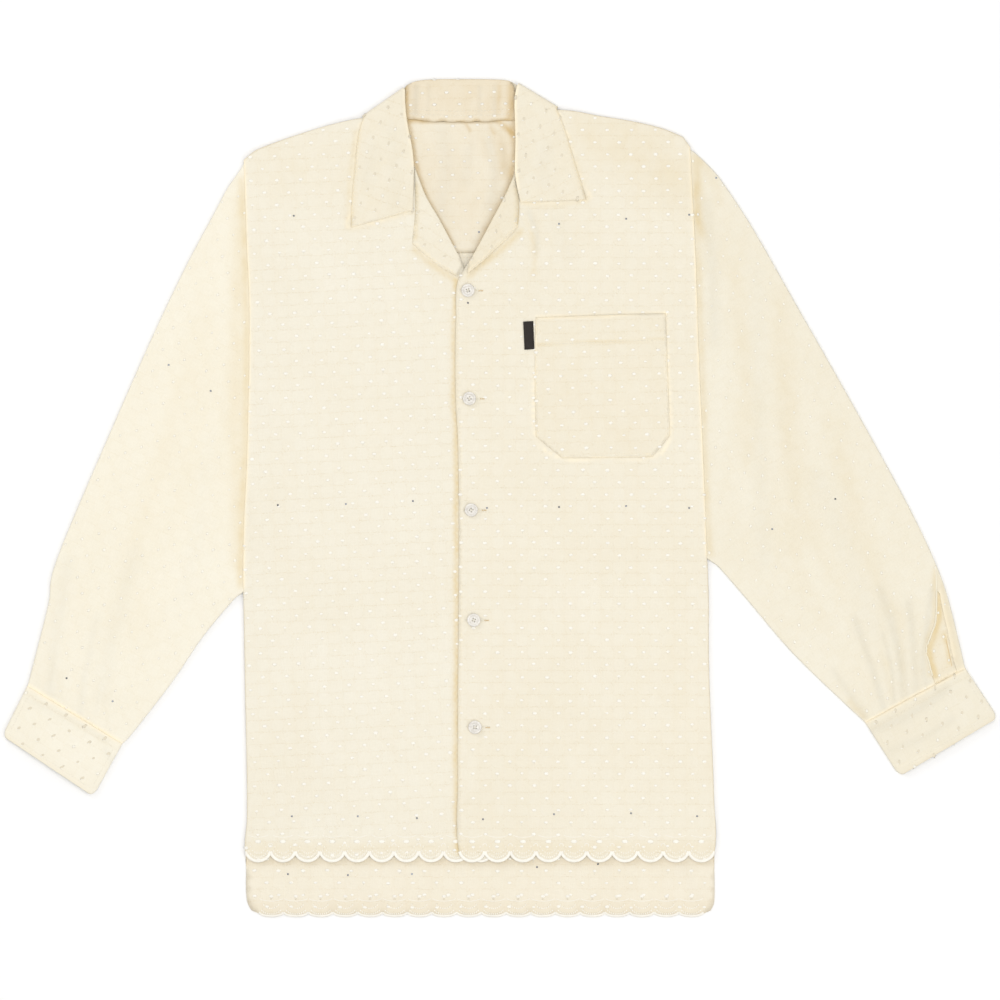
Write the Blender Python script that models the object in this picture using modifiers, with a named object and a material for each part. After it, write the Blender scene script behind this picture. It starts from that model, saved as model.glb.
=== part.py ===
"""A long-sleeved lace shirt with a camp collar, laid flat with its front up.

Sizes below are in millimetres and the mesh is in metres. The origin is on the underside of
the back, +Z is up from the surface it lies on, and +Y runs towards the collar.
"""
import math

import bpy
import numpy as np
from mathutils.bvhtree import BVHTree
from mathutils.geometry import delaunay_2d_cdt

MM = 0.001

# cloth
WALL = 1.0                  # thickness of a panel with its embroidery
GAP = 0.3                   # room between pieces that touch
PITCH = WALL + GAP          # step from one layer to the next
FLOOR_Z = WALL / 2          # middle of a panel that lies on the surface
CUFF_WALL = 1.5
LAYERS_ARMHOLE = 3.9        # height of the front over the back along an armhole
LAYERS_SIDE = 3.0           # and down a side seam
LAYERS_FRONT = 2.6          # and across the chest
LAYERS_NECK = 2.0           # and under the collar
GRID = 27.0                 # spacing of the points inside a panel

# outline of the body, from the shoulder tips down to the hem of the fronts
LEFT_EDGE = [(-219.9, 319.4), (-218.5, 279.2), (-217.1, 238.8), (-214.9, 190.0), (-214.9, 122.0),
             (-215.7, 91.0), (-217.3, 28.0), (-219.6, -18.0), (-220.4, -82.0), (-220.1, -93.0),
             (-219.9, -104.0), (-219.5, -125.0), (-218.5, -182.0), (-216.8, -299.0), (-218.2, -335.0)]
RIGHT_EDGE = [(199.3, 331.5), (200.7, 300.0), (204.4, 227.5), (207.2, 141.0), (210.1, 72.4),
              (213.3, -5.6), (214.9, -51.0), (215.5, -62.0), (216.0, -73.0), (216.6, -94.0), (216.6, -147.0),
              (218.3, -200.0), (221.6, -281.0), (221.8, -335.0)]
LEFT_UNDERARM = -86.0
RIGHT_UNDERARM = -55.0
LEFT_SHOULDER = [(-209.6, 327.8), (-198.0, 332.8), (-163.6, 344.9), (-138.0, 352.5),
                 (-114.0, 358.0), (-107.4, 359.0)]
RIGHT_SHOULDER = [(192.4, 341.0), (173.9, 348.6), (141.9, 356.2), (112.8, 360.9),
                  (90.0, 365.2), (73.0, 366.8)]
NECK = [(-73.3, 372.0), (-71.9, 364.7), (-67.7, 359.1), (-45.0, 356.3), (-17.0, 355.3),
        (13.0, 356.3), (30.0, 359.1), (36.7, 364.7), (38.5, 372.0)]
YOKE_SEAM_Y = 234.0

# the collar's fall, which lies under the back of the neck
FALL_X, FALL_Y, FALL_RX, FALL_RY = -17.0, 376.0, 104.0, 54.0

# opening down the front
BREAK = (-12.2, 218.0)
FRONT_EDGE = [(-18.8, 206.0), (-20.7, 170.0), (-20.7, 89.0), (-18.8, 56.0), (-18.8, -263.0),
              (-17.5, -331.0)]
UNDERLAP_X = 14.0
ROLL_RADIUS = 1.0
BUTTONS = [(-9.4, 196.9), (-8.1, 95.3), (-6.3, -9.4), (-3.9, -112.8), (-2.8, -213.4)]
BUTTON_RADIUS = 6.35
BUTTON_HEIGHT = 2.6

# hems
FRONT_HEM_Y = -331.0
FRONT_SCALLOP = 9.0
BACK_HEM_Y = -388.7
BACK_SCALLOP = 3.3

# sleeves, as (outer edge, lower edge) pairs from the armhole to the cuff
RIGHT_SLEEVE_OUTER = [(-220.6, 318.5), (-229.8, 306.0), (-289.5, 188.0), (-342.2, 70.5),
                      (-395.7, -56.4), (-403.4, -97.8), (-420.3, -164.5), (-422.9, -174.4)]
RIGHT_SLEEVE_LOWER = [(-221.2, -82.5), (-258.5, -128.0), (-287.6, -170.8), (-325.2, -219.4),
                      (-334.2, -228.4)]
LEFT_SLEEVE_OUTER = [(200.3, 331.0), (215.3, 318.5), (252.9, 263.5), (301.5, 178.6),
                     (349.5, 94.0), (401.2, 0.0), (428.4, -56.4), (442.5, -95.9), (457.5, -158.0)]
LEFT_SLEEVE_LOWER = [(216.0, -51.5), (221.2, -56.8), (251.9, -92.1), (295.2, -142.9),
                     (345.0, -191.3), (363.9, -208.6)]
RIGHT_CUFF_OUTER = [(-423.1, -174.7), (-446.6, -221.5)]
RIGHT_CUFF_LOWER = [(-334.4, -228.7), (-361.8, -278.2)]
LEFT_CUFF_OUTER = [(457.7, -158.3), (488.2, -204.6)]
LEFT_CUFF_LOWER = [(364.1, -208.9), (396.3, -259.4)]
CUFF_CORNER = 8.0

# broad soft folds in the cloth: start, end, half width, height
FRONT_FOLDS = [((-150, 300), (-120, 60), 30, 1.3), ((-90, -60), (-130, -310), 34, 1.5),
               ((-60, 190), (-48, -40), 24, 0.9), ((110, 20), (150, -300), 36, 1.5),
               ((160, 320), (196, 215), 15, 1.4), ((62, -40), (58, -300), 26, 1.0),
               ((120, 330), (140, 200), 26, 0.9)]
SLEEVE_FOLDS = [((-262, 170), (-325, -120), 17, 0.8), ((-240, 250), (-262, 40), 16, 0.6),
                ((-300, -60), (-352, -196), 13, 0.8), ((-350, -10), (-396, -150), 13, 0.7),
                ((240, 245), (262, 40), 18, 0.6), ((290, 100), (345, -100), 20, 0.8),
                ((352, -60), (392, -172), 12, 0.8), ((395, -50), (425, -160), 11, 0.7)]

COLOURS = {"cotton": (0.90, 0.84, 0.71), "cotton_inside": (0.86, 0.79, 0.66),
           "pearl": (0.80, 0.78, 0.73), "tab": (0.02, 0.015, 0.012)}


def smooth(t):
    t = np.clip(t, 0.0, 1.0)
    return t * t * (3 - 2 * t)


def along(table, y):
    """The x of an edge at height y, from its (x, y) points that run downwards."""
    xs, ys = zip(*table)
    return np.interp(-np.asarray(y, float), [-v for v in ys], xs)


def ridge(x, y, start, end, half, height):
    """A soft fold along a line, highest at its middle."""
    (ax, ay), (bx, by) = start, end
    length = math.hypot(bx - ax, by - ay)
    ux, uy = (bx - ax) / length, (by - ay) / length
    t = ((x - ax) * ux + (y - ay) * uy) / length
    across = (x - ax) * uy - (y - ay) * ux
    ends = np.exp(-(np.maximum(np.abs(t - 0.5) - 0.35, 0) / 0.22) ** 2)
    return height * np.exp(-(across / half) ** 2) * ends


def fall_distance(x, y):
    return np.hypot((x - FALL_X) / FALL_RX, (y - FALL_Y) / FALL_RY)


def back_z(x, y):
    """Middle of the back and the yoke: on the surface, and over the collar's fall."""
    return FLOOR_Z + PITCH * (1 - smooth((fall_distance(x, y) - 1.0) / 0.5))


def front_z(x, y):
    """Middle of the fronts, over the back and the sleeve heads."""
    x, y = np.asarray(x, float), np.asarray(y, float)
    to_left, to_right = x - along(LEFT_EDGE, y), along(RIGHT_EDGE, y) - x
    edge = np.maximum(np.minimum(to_left, to_right), 0)
    underarm = np.where(to_left < to_right, LEFT_UNDERARM, RIGHT_UNDERARM)
    layers = LAYERS_SIDE + (LAYERS_ARMHOLE - LAYERS_SIDE) * smooth((y - underarm + 4) / 8)
    inner = LAYERS_FRONT + sum(ridge(x, y, *fold) for fold in FRONT_FOLDS)
    layers = layers + (inner - layers) * smooth(edge / 60)
    near_neck = 1 - smooth((fall_distance(x, y) - 1.12) / 0.6)
    return back_z(x, y) + layers + (LAYERS_NECK - layers) * near_neck


def left_front_z(x, y):
    """The left front lies over the underlap of the right one."""
    return front_z(x, y) + PITCH * (1 - smooth((np.asarray(x, float) - 26.0) / 26.0))


def seam_radius(x, y):
    """Half the room between front and back, the radius of the fold at their seam."""
    return (front_z(x, y) - back_z(x, y)) / 2


def material(name, roughness=0.85):
    mat = bpy.data.materials.new(name)
    mat.use_nodes = True
    shader = mat.node_tree.nodes["Principled BSDF"]
    shader.inputs["Base Color"].default_value = (*COLOURS[name], 1)
    shader.inputs["Roughness"].default_value = roughness
    shader.inputs["Metallic"].default_value = 0.0
    return mat


def add_object(name, verts, faces, mat, wall=WALL, edges=()):
    """A mesh object in the shirt's collection; a wall makes an open surface into cloth."""
    mesh = bpy.data.meshes.new(name)
    mesh.from_pydata([tuple(c * MM for c in v) for v in verts], edges, faces)
    mesh.validate()
    obj = bpy.data.objects.new(name, mesh)
    bpy.data.collections["lace_shirt"].objects.link(obj)
    mesh.materials.append(mat)
    if wall:
        cloth = obj.modifiers.new("cloth", "SOLIDIFY")
        cloth.thickness = wall * MM
        cloth.offset = 0.0
        cloth.use_quality_normals = True
    return obj


def inside(loop, points):
    """Which points lie inside a closed outline."""
    px, py = points[:, 0], points[:, 1]
    hit = np.zeros(len(points), bool)
    for (ax, ay), (bx, by) in zip(loop, np.roll(loop, -1, axis=0)):
        crosses = (ay > py) != (by > py)
        with np.errstate(divide="ignore", invalid="ignore"):
            hit ^= crosses & (px < (bx - ax) * (py - ay) / (by - ay) + ax)
    return hit


def clearance(loop, points):
    """Distance from each point to the outline."""
    best = np.full(len(points), 1e9)
    for a, b in zip(loop, np.roll(loop, -1, axis=0)):
        d = b - a
        t = np.clip(((points - a) @ d) / (d @ d), 0, 1)
        best = np.minimum(best, np.linalg.norm(points - a - t[:, None] * d, axis=1))
    return best


def roll_profile(radius):
    """(inset, rise) from a rolled edge inwards; two such edges end a gap apart."""
    end = 60.0
    for _ in range(30):
        reach = (GAP / 2 + WALL / 2 * math.cos(math.radians(end - 10))) / radius
        end = math.degrees(math.acos(min(reach, 0.9)))
    angles = [math.radians(a) for a in (end, end - 20, (end - 20) / 2, 0)]
    return [(radius * (math.sin(angles[0]) - math.sin(a)), radius * (1 - math.cos(a)))
            for a in angles]


SURFACES = {}


def over(name, base, step=PITCH + 0.05):
    """Height of a piece that lies on a panel, from the panel's own surface."""
    def height(x, y):
        z = np.array(np.broadcast_to(base(x, y), np.shape(x)), float)
        for n, (px, py) in enumerate(zip(x, y)):
            hit = SURFACES[name].ray_cast((px, py, 50.0), (0.0, 0.0, -1.0))[0]
            if hit is not None:
                z[n] = hit.z
        return z + step
    return height


def panel(name, outline, height, mat, radius=None, step=GRID, wall=WALL):
    """A cloth panel over height(x, y) inside an outline of (x, y, turn) points.

    turn is +1 where the edge rolls up to meet a piece above, -1 where it rolls down, and
    0 where it is cut. radius(x, y) is the radius of the roll.
    """
    loop = np.array([(p[0], p[1]) for p in outline], float)
    turn = [p[2] for p in outline]
    area = np.sum(loop[:, 0] * np.roll(loop[:, 1], -1) - np.roll(loop[:, 0], -1) * loop[:, 1])
    if area < 0:
        loop, turn = loop[::-1].copy(), turn[::-1]
    count = len(loop)
    edge = np.roll(loop, -1, axis=0) - loop
    edge /= np.linalg.norm(edge, axis=1)[:, None]
    normal = np.stack([-edge[:, 1], edge[:, 0]], axis=1)

    coords = [tuple(p) for p in loop]
    lift = [0.0] * count
    ring = {}
    on_edge = {}
    for i in range(count):
        before, after = (i - 1) % count, (i + 1) % count
        if not (turn[i] or turn[before] or turn[after]):
            continue
        sharp = normal[before] @ normal[i] < 0.8
        if not turn[i] and (sharp or (turn[before] and
                            normal[(before - 1) % count] @ normal[before] < 0.8)
                            or (turn[after] and normal[i] @ normal[after] < 0.8)):
            continue
        source = i if turn[i] else (before if turn[before] else after)
        r = float(radius(*loop[i])) if radius else ROLL_RADIUS
        profile = roll_profile(r)
        lift[i] = turn[i] * profile[0][1]
        ends_here = bool(turn[i]) and sharp and not (turn[before] and turn[after])
        if ends_here:
            free = edge[i] if not turn[after] else -edge[before]
            rolled = normal[before] if not turn[after] else normal[i]
            way = free / (free @ rolled)
        else:
            both = normal[before] + normal[i]
            way = 2 * both / (both @ both)
        ids = []
        for d, rise in profile[1:]:
            ids.append(len(coords))
            coords.append(tuple(loop[i] + way * d))
            lift.append(turn[i] * rise)
        ring[i] = ids
        if ends_here:
            on_edge[i] = (ids if not turn[after] else ids[::-1], not turn[after])

    border = []
    for i in range(count):
        if i in on_edge and not on_edge[i][1]:
            border += on_edge[i][0]
        border.append(i)
        if i in on_edge and on_edge[i][1]:
            border += on_edge[i][0]
    links = [(border[k], border[(k + 1) % len(border)]) for k in range(len(border))]
    for i in ring:
        j = (i + 1) % count
        if j in ring and (turn[i] or turn[j]):
            links += list(zip(ring[i], ring[j]))

    low, high = loop.min(axis=0), loop.max(axis=0)
    rise = step * 0.87
    grid = np.array([((k + 0.5 * (m % 2)) * step, m * rise)
                     for m in range(int(low[1] // rise), int(high[1] // rise) + 2)
                     for k in range(int(low[0] // step) - 1, int(high[0] // step) + 2)])
    grid = grid[inside(loop, grid)]
    if len(grid):
        grid = grid[clearance(loop, grid) > max(0.3 * step, 3.0)]
    for p in grid:
        coords.append(tuple(p))
        lift.append(0.0)

    found = delaunay_2d_cdt([tuple(map(float, c)) for c in coords], links, [border], 1, 1e-6)
    verts, faces, origin = found[0], found[2], found[3]
    points = np.array([(v.x, v.y) for v in verts])
    z = height(points[:, 0], points[:, 1])
    rise = [max((lift[k] for k in ids), key=abs) if ids else 0.0 for ids in origin]
    mesh_points = [(p[0], p[1], h + d) for p, h, d in zip(points, z, rise)]
    faces = [list(f) for f in faces]
    SURFACES[name] = BVHTree.FromPolygons(mesh_points, faces)
    return add_object(name, mesh_points, faces, mat, wall)


def grid_wall(name, rows, mat, wall=WALL, closed=False):
    """Cloth through rows of points, each row with the same number; closed rows are rings."""
    width = len(rows[0])
    verts = [p for row in rows for p in row]
    faces = []
    for i in range(len(rows) - 1):
        for j in range(width if closed else width - 1):
            k = (j + 1) % width
            faces.append([i * width + j, i * width + k, (i + 1) * width + k, (i + 1) * width + j])
    SURFACES[name] = BVHTree.FromPolygons(verts, faces)
    return add_object(name, verts, faces, mat, wall)


def scallops(x0, x1, count, y, depth, steps=4):
    """Points of a scalloped hem from x0 to x1, without the last one."""
    points = []
    for i in range(count):
        for j in range(steps):
            t = j / steps
            x = x0 + (x1 - x0) * (i + t) / count
            points.append((x, y - depth * math.sin(math.pi * t) ** 0.8, 0))
    return points


def edge_points(table, underarm, way, top=1e9):
    """Edge points from the top down; below the underarm they roll into the side seam."""
    points = []
    for x, y in table:
        turn = 0 if y > underarm - 2 else (0.5 if y > underarm - 10 else 1)
        if y < top:
            points.append((x, y, way * turn))
    return points


def build_back(mat):
    """Back below the yoke: flat, with side seams that roll up, and a scalloped hem."""
    top = YOKE_SEAM_Y - GAP / 2
    left = [(along(LEFT_EDGE, top), top, 0)] + edge_points(LEFT_EDGE, LEFT_UNDERARM, 1, top)
    right = [(along(RIGHT_EDGE, top), top, 0)] + edge_points(RIGHT_EDGE, RIGHT_UNDERARM, 1, top)
    tail_left = [(-217.8, -344.0, 0), (-217.7, -372.0, 0), (-214.0, -385.0, 0)]
    tail_right = [(222.0, -344.0, 0), (222.3, -372.0, 0), (219.0, -385.0, 0)]
    hem = scallops(-206.0, 212.0, 18, BACK_HEM_Y, BACK_SCALLOP)
    outline = left + tail_left + hem + [(212.0, BACK_HEM_Y, 0)] + (right + tail_right)[::-1]
    panel("back", outline, back_z, mat, seam_radius, step=60.0)


def build_yoke(mat):
    """Back yoke from its seam to the neck; the shoulders roll up to the fronts."""
    low = YOKE_SEAM_Y + GAP / 2
    left = [(x, y, 0) for x, y in LEFT_EDGE if y > low][::-1]
    right = [(x, y, 0) for x, y in RIGHT_EDGE if y > low]
    left[-1] = (*left[-1][:2], 1)
    right[0] = (*right[0][:2], 1)
    outline = ([(along(LEFT_EDGE, low), low, 0)] + left
               + [(x, y, 1) for x, y in LEFT_SHOULDER]
               + [(x, y, 0) for x, y in NECK]
               + [(x, y, 1) for x, y in RIGHT_SHOULDER[::-1]] + right
               + [(along(RIGHT_EDGE, low), low, 0)])
    panel("back_yoke", outline, back_z, mat, seam_radius)


def build_right_front(mat):
    """Right front, which runs on as an underlap; its neck edge rolls up to the lapel."""
    def radius(x, y):
        return ROLL_RADIUS if x > -70 else seam_radius(x, y)

    side = edge_points(LEFT_EDGE, LEFT_UNDERARM, -1)
    side[0] = (*side[0][:2], -1)
    shoulder = [(x, y, -1) for x, y in LEFT_SHOULDER[::-1]]
    neck = [(-73.3, 372.0, 0), (-71.9, 358.0, 0), (-67.0, 335.0, 0), (-62.0, 317.0, 0)]
    roll = [(-59.0, 311.0, 0.5), (-49.2, 286.0, 1), (-35.7, 262.5, 1), (-22.3, 237.3, 1)]
    under = [(-17.5, 228.6, 0), (-11.3, 214.3, 0), (1.9, 202.0, 0), (UNDERLAP_X, 188.0, 0),
             (UNDERLAP_X, FRONT_HEM_Y, 0)]
    hem = scallops(-218.2, UNDERLAP_X, 10, FRONT_HEM_Y - 0.4, FRONT_SCALLOP)[1:]
    side[-1] = (-218.2, FRONT_HEM_Y - 0.4, -1)
    outline = side + hem + under[::-1] + roll[::-1] + neck[::-1] + shoulder
    panel("right_front", outline, front_z, mat, radius)


def build_left_front(mat):
    """Left front, on top at the opening, with a rolled neck edge up to its lapel."""
    def radius(x, y):
        return ROLL_RADIUS if x < 40 else seam_radius(x, y)

    side = edge_points(RIGHT_EDGE, RIGHT_UNDERARM, -1)
    side[0] = (*side[0][:2], -1)
    side[-1] = (221.8, FRONT_HEM_Y - 0.4, -1)
    shoulder = [(x, y, -1) for x, y in RIGHT_SHOULDER]
    neck = [(38.5, 372.0, 0), (37.6, 352.0, 0), (36.2, 330.0, 0), (35.0, 314.0, 0)]
    roll = [(33.3, 303.4, 0.5), (26.3, 287.6, 1), (13.0, 262.5, 1), (-2.2, 234.0, 1)]
    hem = scallops(-17.5, 221.8, 10, FRONT_HEM_Y - 0.4, FRONT_SCALLOP)[1:]
    front = [(-8.5, 223.5, 0), (*BREAK, 0)] + [(x, y, 0) for x, y in FRONT_EDGE]
    outline = front + hem + side[::-1] + shoulder + neck + roll
    on_underlap = over("right_front", lambda x, y: np.full(np.shape(x), -9.0))
    panel("left_front", outline,
          lambda x, y: np.maximum(left_front_z(x, y), on_underlap(x, y)), mat, radius)


def lapel_height(base, a, b):
    """A turned lapel: higher along its roll from a to b, and down to the front elsewhere."""
    (ax, ay), (bx, by) = a, b
    length = math.hypot(bx - ax, by - ay)

    def height(x, y):
        across = np.abs((x - ax) * (by - ay) - (y - ay) * (bx - ax)) / length
        return base(x, y) + PITCH + 0.7 * (1 - smooth((across - 1.5) / 20.0)) + 0.15
    return height


def build_lapels(mat):
    right = [(-59.0, 311.0, -0.5), (-49.2, 286.0, -1), (-35.7, 262.5, -1), (-22.3, 237.3, -1),
             (-17.8, 228.8, 0), (-14.6, 220.6, 0), (-20.3, 210.6, 0), (-36.5, 219.6, 0),
             (-61.8, 240.6, 0), (-60.0, 257.0, 0), (-59.0, 271.0, 0), (-58.7, 292.0, 0)]
    left = [(33.3, 303.4, -0.5), (26.3, 287.6, -1), (13.0, 262.5, -1), (-2.2, 234.0, -1),
            (-8.2, 223.4, 0), (-10.0, 212.6, 0), (4.0, 223.8, 0), (18.2, 237.2, 0),
            (32.0, 250.0, 0), (37.6, 256.6, 0), (38.7, 278.0, 0), (37.0, 289.0, 0)]
    panel("right_lapel", right, lapel_height(front_z, (-59.0, 311.0), (-22.3, 237.3)), mat,
          lambda x, y: ROLL_RADIUS, step=14.0)
    panel("left_lapel", left, lapel_height(left_front_z, (33.3, 303.4), (-2.2, 234.0)), mat,
          lambda x, y: ROLL_RADIUS, step=14.0)


STAND_RISE = 0.7
COLLAR_ROLL = 1.0


def stand_z(x, y):
    return FLOOR_Z + PITCH + STAND_RISE * smooth((np.asarray(y, float) - 362.0) / 24.0)


def build_collar_stand(mat):
    """Band inside the back of the neck; its top rolls down to the fall."""
    top = [(-61.0, 392.4, 0), (-55.5, 393.8, -1), (-45.0, 394.8, -1), (-17.0, 395.2, -1),
           (14.0, 394.9, -1), (27.0, 394.0, -1), (31.5, 392.6, 0)]
    side_right = [(33.2, 389.6, 0), (34.4, 385.0, 0), (35.6, 379.0, 0), (36.4, 372.0, 0),
                  (35.4, 365.4, 0)]
    bottom = [(29.6, 359.9, 0), (13.0, 357.0, 0), (-17.0, 356.0, 0), (-45.0, 357.0, 0),
              (-66.9, 359.8, 0), (-70.7, 365.0, 0)]
    side_left = [(-70.6, 372.0, 0), (-69.4, 384.2, 0), (-68.2, 387.4, 0), (-66.6, 389.6, 0)]
    panel("collar_stand", top + side_right + bottom + side_left, stand_z, mat,
          lambda x, y: COLLAR_ROLL, step=18.0)


LEAF_GAP = 0.05
FOLD_R = (2 * PITCH + LAYERS_NECK + LEAF_GAP) / 2
FOLD_Z = FLOOR_Z + FOLD_R
LEAF_RIGHT = [((-61.5, 271.9), (-119.4, 256.0)), ((-60.6, 291.4), (-119.2, 270.0)),
              ((-60.3, 304.6), (-117.6, 294.0)), ((-60.3, 314.0), (-116.0, 310.0)),
              ((-62.0, 331.0), (-114.4, 326.0)), ((-65.3, 348.0), (-112.6, 341.0)),
              ((-67.4, 361.0), (-110.8, 350.0)), ((-68.6, 375.0), (-109.0, 355.0))]
LEAF_LEFT = [((40.0, 279.6), (101.6, 282.0)), ((37.2, 291.4), (97.8, 296.0)),
             ((35.2, 304.6), (92.6, 312.0)), ((34.8, 314.0), (88.8, 325.0)),
             ((35.3, 338.0), (83.4, 343.0)), ((34.8, 358.0), (79.6, 354.0)),
             ((34.4, 372.0), (77.0, 360.0)), ((35.2, 382.0), (75.0, 364.0))]
FOLD_RIGHT = ((-68.7, 385.6), (-107.5, 358.6))
FOLD_LEFT = ((37.0, 389.6), (74.0, 367.2))
FALL = [((-66.8, 389.8), (-100.0, 352.5)), ((-61.0, 392.4), (-88.0, 346.6)),
        ((-55.5, 393.8), (-73.0, 340.4)), ((-45.0, 394.8), (-50.0, 333.8)),
        ((-31.0, 395.1), (-33.0, 331.6)), ((-17.0, 395.2), (-17.0, 331.0)),
        ((-1.0, 395.1), (0.0, 332.4)), ((14.0, 394.9), (18.0, 335.6)),
        ((27.0, 394.0), (40.0, 343.4)), ((31.5, 392.6), (54.0, 351.4)),
        ((35.0, 390.9), (66.0, 361.4))]


def collar_row(inner, outer, centre, face, roll):
    """Points across the collar from its rolled neck edge to its outer edge."""
    inner, outer = np.array(inner, float), np.array(outer, float)
    way = (outer - inner) / np.linalg.norm(outer - inner)
    face = np.array(face, float)
    row = []
    for inset, rise in roll_profile(COLLAR_ROLL):
        p = inner + way * inset
        row.append(centre(p[0], p[1]) - face * roll * rise)
    for t in (0.28, 0.55, 0.8, 1.0):
        p = inner + (outer - inner) * t
        row.append(centre(p[0], p[1]))
    return [tuple(p) for p in row]


def wrap_rows(ends, outward, angles):
    """Rows of the collar where it folds over a shoulder, around the line between ends."""
    rows = []
    for angle in angles:
        a = math.radians(angle)
        push = np.array([outward[0] * math.sin(a), outward[1] * math.sin(a), math.cos(a)])
        rows.append(collar_row(*ends, lambda x, y, p=push: np.array([x, y, FOLD_Z]) + FOLD_R * p,
                               push, 0.0))
    return rows


def build_collar(mat):
    """Collar as one piece: a leaf on each front, folded over the shoulders to the fall."""
    on_right = over("right_front", front_z, PITCH + LEAF_GAP)
    on_left = over("left_front", left_front_z, PITCH + LEAF_GAP)

    def leaf(x, y):
        on = on_right if x < FALL_X else on_left
        return np.array([x, y, on(np.array([x]), np.array([y]))[0]])

    def rolled(y):
        return float(smooth((y - 306.0) / 30.0))

    def fall(x, y):
        return np.array([x, y, FLOOR_Z])

    rows = [collar_row(i, o, leaf, (0, 0, 1), rolled(i[1])) for i, o in LEAF_RIGHT]
    rows[-1] = collar_row(*LEAF_RIGHT[-1], leaf, (0, 0, 1), 0.5)
    for ends, side in ((FOLD_RIGHT, 1), (FOLD_LEFT, -1)):
        line = np.array(ends[1], float) - np.array(ends[0], float)
        line /= np.linalg.norm(line)
        outward = np.array([-line[1], line[0]])
        outward *= np.sign(outward[1])
        angles = (0, 36, 72, 108, 144, 180)
        if side == 1:
            rows += wrap_rows(ends, outward, angles)
            curl = [0.0, 0.0] + [1.0] * (len(FALL) - 4) + [0.0, 0.0]
            rows += [collar_row(i, o, fall, (0, 0, -1), c) for (i, o), c in zip(FALL, curl)]
        else:
            rows += wrap_rows(ends, outward, angles[::-1])
    right = [collar_row(i, o, leaf, (0, 0, 1), rolled(i[1])) for i, o in LEAF_LEFT[::-1]]
    right[0] = collar_row(*LEAF_LEFT[-1], leaf, (0, 0, 1), 0.5)
    grid_wall("collar", rows + right, mat)


def spaced(table, shares):
    """Points at shares of a polyline's length."""
    pts = np.array(table, float)
    steps = np.concatenate([[0], np.cumsum(np.linalg.norm(np.diff(pts, axis=0), axis=1))])
    at = np.array(shares) * steps[-1]
    return np.stack([np.interp(at, steps, pts[:, 0]), np.interp(at, steps, pts[:, 1])], axis=1)


def flat_ring(outer, lower, top, radius, floor, across, under):
    """One ring of a flattened tube, from its outer edge over the top to its lower edge."""
    outer, lower = np.array(outer, float), np.array(lower, float)
    way = (lower - outer) / np.linalg.norm(lower - outer)
    start, end = outer + way * radius, lower - way * radius
    ring = []
    for t in across:
        p = start + (end - start) * t
        ring.append((p[0], p[1], float(top(p[0], p[1], t))))
    for angle in (45, 90, 135):
        a = math.radians(angle)
        p = end + way * radius * math.sin(a)
        high = ring[len(across) - 1][2]
        middle = (high + floor) / 2
        ring.append((p[0], p[1], middle + (high - floor) / 2 * math.cos(a)))
    for t in under:
        p = end + (start - end) * t
        ring.append((p[0], p[1], floor))
    for angle in (135, 90, 45):
        a = math.radians(angle)
        p = start - way * radius * math.sin(a)
        middle = (ring[0][2] + floor) / 2
        ring.append((p[0], p[1], middle + (ring[0][2] - floor) / 2 * math.cos(a)))
    return ring


SLEEVE_SHARES = [0.0, 0.012, 0.045, 0.1, 0.17, 0.25, 0.33, 0.42, 0.51, 0.6, 0.69, 0.77, 0.84,
                 0.9, 0.95, 1.0]
SLEEVE_ACROSS = [0.0, 0.05, 0.12, 0.2, 0.29, 0.38, 0.47, 0.56, 0.65, 0.74, 0.83, 0.91, 1.0]
UNDER = [0.0, 0.25, 0.5, 0.75, 1.0]
GATHERS = 4
GATHER_HEIGHT = 0.6


def sleeve_top(share):
    """Height of a sleeve's upper layer at one ring: low at both ends, full between."""
    room = 2.6 + 0.5 * smooth(share / 0.12)
    fullness = 0.9 * smooth(share / 0.25) * (1 - 0.6 * smooth((share - 0.7) / 0.3))
    gather = GATHER_HEIGHT * smooth((share - 0.8) / 0.18)

    def top(x, y, t):
        round_over = math.sin(math.pi * t) ** 0.7 if 0 < t < 1 else 0.0
        folds = sum(ridge(x, y, *fold) for fold in SLEEVE_FOLDS) * smooth(share / 0.12)
        pleats = gather * math.sin(math.pi * t) * math.cos(2 * math.pi * GATHERS * t + 0.6)
        return FLOOR_Z + room + fullness * round_over + (folds + pleats) * min(1, 6 * t, 6 - 6 * t)
    return top, room / 2


def build_sleeve(name, outer_table, lower_table, mat):
    outer, lower = spaced(outer_table, SLEEVE_SHARES), spaced(lower_table, SLEEVE_SHARES)
    rings = []
    for share, a, b in zip(SLEEVE_SHARES, outer, lower):
        top, radius = sleeve_top(share)
        rings.append(flat_ring(a, b, top, radius, FLOOR_Z, SLEEVE_ACROSS, UNDER))
    grid_wall(name, rings, mat, closed=True)


CUFF_SHARES = [0.0, 0.12, 0.5, 0.82, 0.93, 1.0]
CUFF_ACROSS = [0.0, 0.12, 0.3, 0.5, 0.7, 0.88, 1.0]


def build_cuff(name, outer_table, lower_table, mat):
    """A flattened band of doubled cloth with rounded corners at the hand."""
    outer, lower = spaced(outer_table, CUFF_SHARES), spaced(lower_table, CUFF_SHARES)
    floor = CUFF_WALL / 2
    length = math.dist(outer_table[0], outer_table[-1])
    rings = []
    for share, a, b in zip(CUFF_SHARES, outer, lower):
        left = (1 - share) * length
        inset = CUFF_CORNER - math.sqrt(CUFF_CORNER ** 2 - max(CUFF_CORNER - left, 0) ** 2)
        inset *= 0.6
        way = (b - a) / np.linalg.norm(b - a)

        def top(x, y, t):
            return floor + 3.0 + 1.1 * math.sin(math.pi * t) ** 0.8 * (1 if 0 < t < 1 else 0)
        rings.append(flat_ring(a + way * inset, b - way * inset, top, 1.5, floor, CUFF_ACROSS,
                               [0.0, 0.5, 1.0]))
    grid_wall(name, rings, mat, wall=CUFF_WALL, closed=True)


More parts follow.
